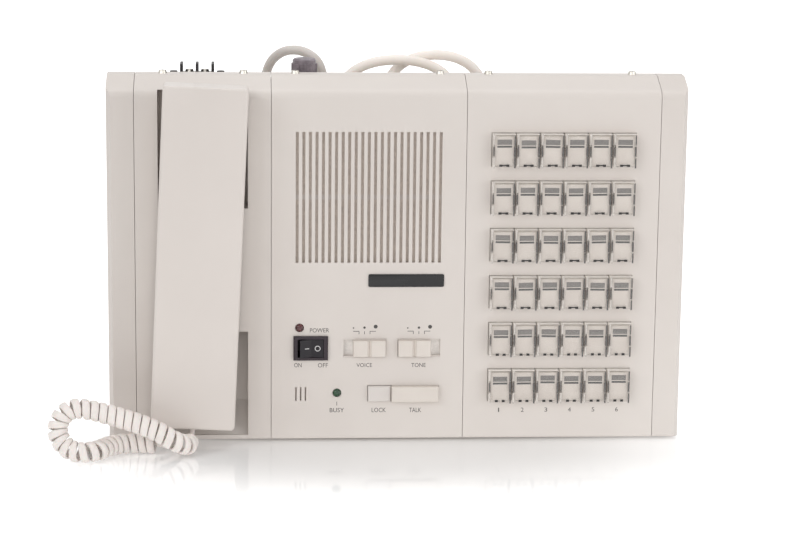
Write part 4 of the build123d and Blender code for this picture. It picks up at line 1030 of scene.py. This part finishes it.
# The vent slots' floors take a dark finish: painted shade that stands for open slots.
painted_vent_shade = plastic("vent_floor_painted_shade", (52, 49, 47), (38, 36, 35), 200, 1200, 0.00004, 0.7, 0.85)
columns = [-PLATE_HALF]
for middle in (-92.0, 92.0):
    for step in range(VENTS):
        vent_x = middle + (step - (VENTS - 1) / 2) * VENT_PITCH
        columns += [vent_x - VENT_HALF, vent_x + VENT_HALF]
columns.append(PLATE_HALF)
rear_plate = bmesh.new()
lines = [[rear_plate.verts.new((x * MM, y * MM, 0)) for x in columns] for y in PLATE_ROWS]
for row, (below, above) in enumerate(zip(lines, lines[1:])):
    for step in range(len(columns) - 1):
        face = rear_plate.faces.new((below[step], below[step + 1], above[step + 1], above[step]))
        face.material_index = 1 if row == 1 and step % 2 else 0
thicken(rear_plate, PLATE_THICK)
corners = [
    edge for edge in edges_along(rear_plate, 2)
    if abs(edge.verts[0].co.x) > (PLATE_HALF - 1) * MM
    and not (PLATE_ROWS[0] + 1) * MM < edge.verts[0].co.y < (PLATE_ROWS[-1] - 1) * MM
]
round_edges(rear_plate, corners, 4.0, segments=6)
vents = [face for face in rear_plate.faces if face.material_index == 1 and face.normal.z > 0.5]
for face in bmesh.ops.extrude_discrete_faces(rear_plate, faces=vents)["faces"]:
    bmesh.ops.translate(rear_plate, vec=(0, 0, -VENT_DEEP * MM), verts=face.verts)
soften(rear_plate, 0.15, over=40)
lay(rear_plate, cover_place(0, BACK_DEPTH, 0), REAR)
place_piece(rear_plate, "rear_cover_plate", housing_paint, painted_vent_shade, slot="housing_paint")

heads, rear_crosses = bmesh.new(), bmesh.new()
for x in (-143.0, 0.0, 143.0):
    for height in (19.0, 169.0):
        spin_into(heads, Vector((x, height, 0)) * MM, Vector((0, 0, 1)), REAR_SCREW, 28)
        cross_into(rear_crosses, x, height, 2.6, 0.5, 0.3)
bmesh.ops.remove_doubles(heads, verts=heads.verts, dist=0.00001)
lay(heads, cover_place(0, BACK_DEPTH + PLATE_THICK, 0), REAR)
place_piece(heads, "rear_screws", screw_zinc, slot="screw_steel")
# The rear crosses are painted shade for the screws' cross recesses.
lay_marks(rear_crosses, "rear_screw_cross_painted_shade", cover_place(0, BACK_DEPTH + HEAD_TOP, 0), black_ink_and_painted_shade, turn=REAR)
print("rear plate made, slots:", len(vents))

# %% [markdown]
# ## The table top and the light
# A white glossy table: it mirrors the console softly and keeps a faint shadow, and it is pure white further away.
# The glow for that is seen by the camera and in reflections only. Close by, the table throws a soft pool of light
# back on the object, so that the covers get a little brighter towards their foot.

# %% The floor
grid = bmesh.new()
bmesh.ops.create_grid(grid, x_segments=1, y_segments=1, size=6.0)
floor_data = bpy.data.meshes.new("table_top")
grid.to_mesh(floor_data)
grid.free()
floor = add_object("table_top", floor_data)
table_white, shader = finish(
    "table_white", 0.05, IOR=1.75, Base_Color=(0.88, 0.88, 0.88, 1), Emission_Color=(1, 1, 1, 1),
)
floor_data.materials.append(table_white)
place = add_node(table_white, "ShaderNodeTexCoord")
squeeze = add_node(table_white, "ShaderNodeMapping", Location=(0, 0.05, 0), Scale=(0.48, 1, 1))
away = add_node(table_white, "ShaderNodeVectorMath", operation="LENGTH")
fade, pool = (
    add_node(
        table_white, "ShaderNodeMapRange", interpolation_type="SMOOTHSTEP", From_Min=near, From_Max=far,
        To_Min=start, To_Max=end,
    ) for near, far, start, end in ((0.03, 0.175, 0.01, 0.8), (0.05, 0.5, 0.28, 0.0))
)
path = add_node(table_white, "ShaderNodeLightPath")
mirrored = add_node(table_white, "ShaderNodeMath", operation="MAXIMUM")
bounce = add_node(table_white, "ShaderNodeMath", operation="MULTIPLY")
glow = add_node(table_white, "ShaderNodeMath", operation="MULTIPLY_ADD")
wire(
    table_white, (place, "Object", squeeze, "Vector"), (squeeze, "Vector", away, 0), (away, "Value", fade, "Value"),
    (path, "Is Camera Ray", mirrored, 0), (path, "Is Glossy Ray", mirrored, 1), (away, "Value", pool, "Value"),
    (path, "Is Diffuse Ray", bounce, 0), (pool, "Result", bounce, 1), (fade, "Result", glow, 0),
    (mirrored, "Value", glow, 1), (bounce, "Value", glow, 2), (glow, "Value", shader, "Emission Strength"),
)

# %% [markdown]
# Four large soft lights: one high at the left front, a wide fill low at the right, one above that brightens the
# sloping top edge, and a small one in front that reaches into the wells. The world is white to the camera and in
# reflections, and dimmer as a light.

# %% Lights and world
def softbox(name, place, aim, wide, tall, power):
    """A rectangular light that faces a point, with its sizes in metres."""
    light = bpy.data.lights.new(name, "AREA")
    light.shape = "RECTANGLE"
    light.size, light.size_y = wide, tall
    light.energy = power
    piece = add_object(name, light)
    piece.location = place
    piece.rotation_euler = (Vector(aim) - Vector(place)).to_track_quat("-Z", "Y").to_euler()


softbox("key_light", (-1.9, -2.1, 1.6), (0, 0, 0.1), 2.0, 1.6, 25.5)
softbox("fill_light", (0.85, -0.65, 0.32), (0.05, 0, 0.1), 0.6, 0.5, 2.4)
softbox("top_light", (0.1, 0.2, 2.0), (0, 0, 0.1), 1.8, 1.2, 15)
softbox("front_light", (0.1, -2.3, 1.0), (0, 0, 0.1), 0.9, 1.0, 4.2)

world = bpy.data.worlds.new("studio")
bpy.context.scene.world = world
world.use_nodes = True
ambient = world.node_tree.nodes["Background"]
ambient.inputs["Color"].default_value = (1, 1, 1, 1)
sight = add_node(world, "ShaderNodeLightPath")
through = add_node(world, "ShaderNodeMath", operation="MAXIMUM")
clearly = add_node(world, "ShaderNodeMath", operation="MAXIMUM")
strength = add_node(world, "ShaderNodeMapRange", To_Min=0.45, To_Max=1.0)
wire(
    world, (sight, "Is Camera Ray", through, 0), (sight, "Is Transmission Ray", through, 1),
    (through, "Value", clearly, 0), (sight, "Is Glossy Ray", clearly, 1), (clearly, "Value", strength, "Value"),
    (strength, "Result", ambient, "Strength"),
)
bpy.context.scene.view_settings.view_transform = "Standard"
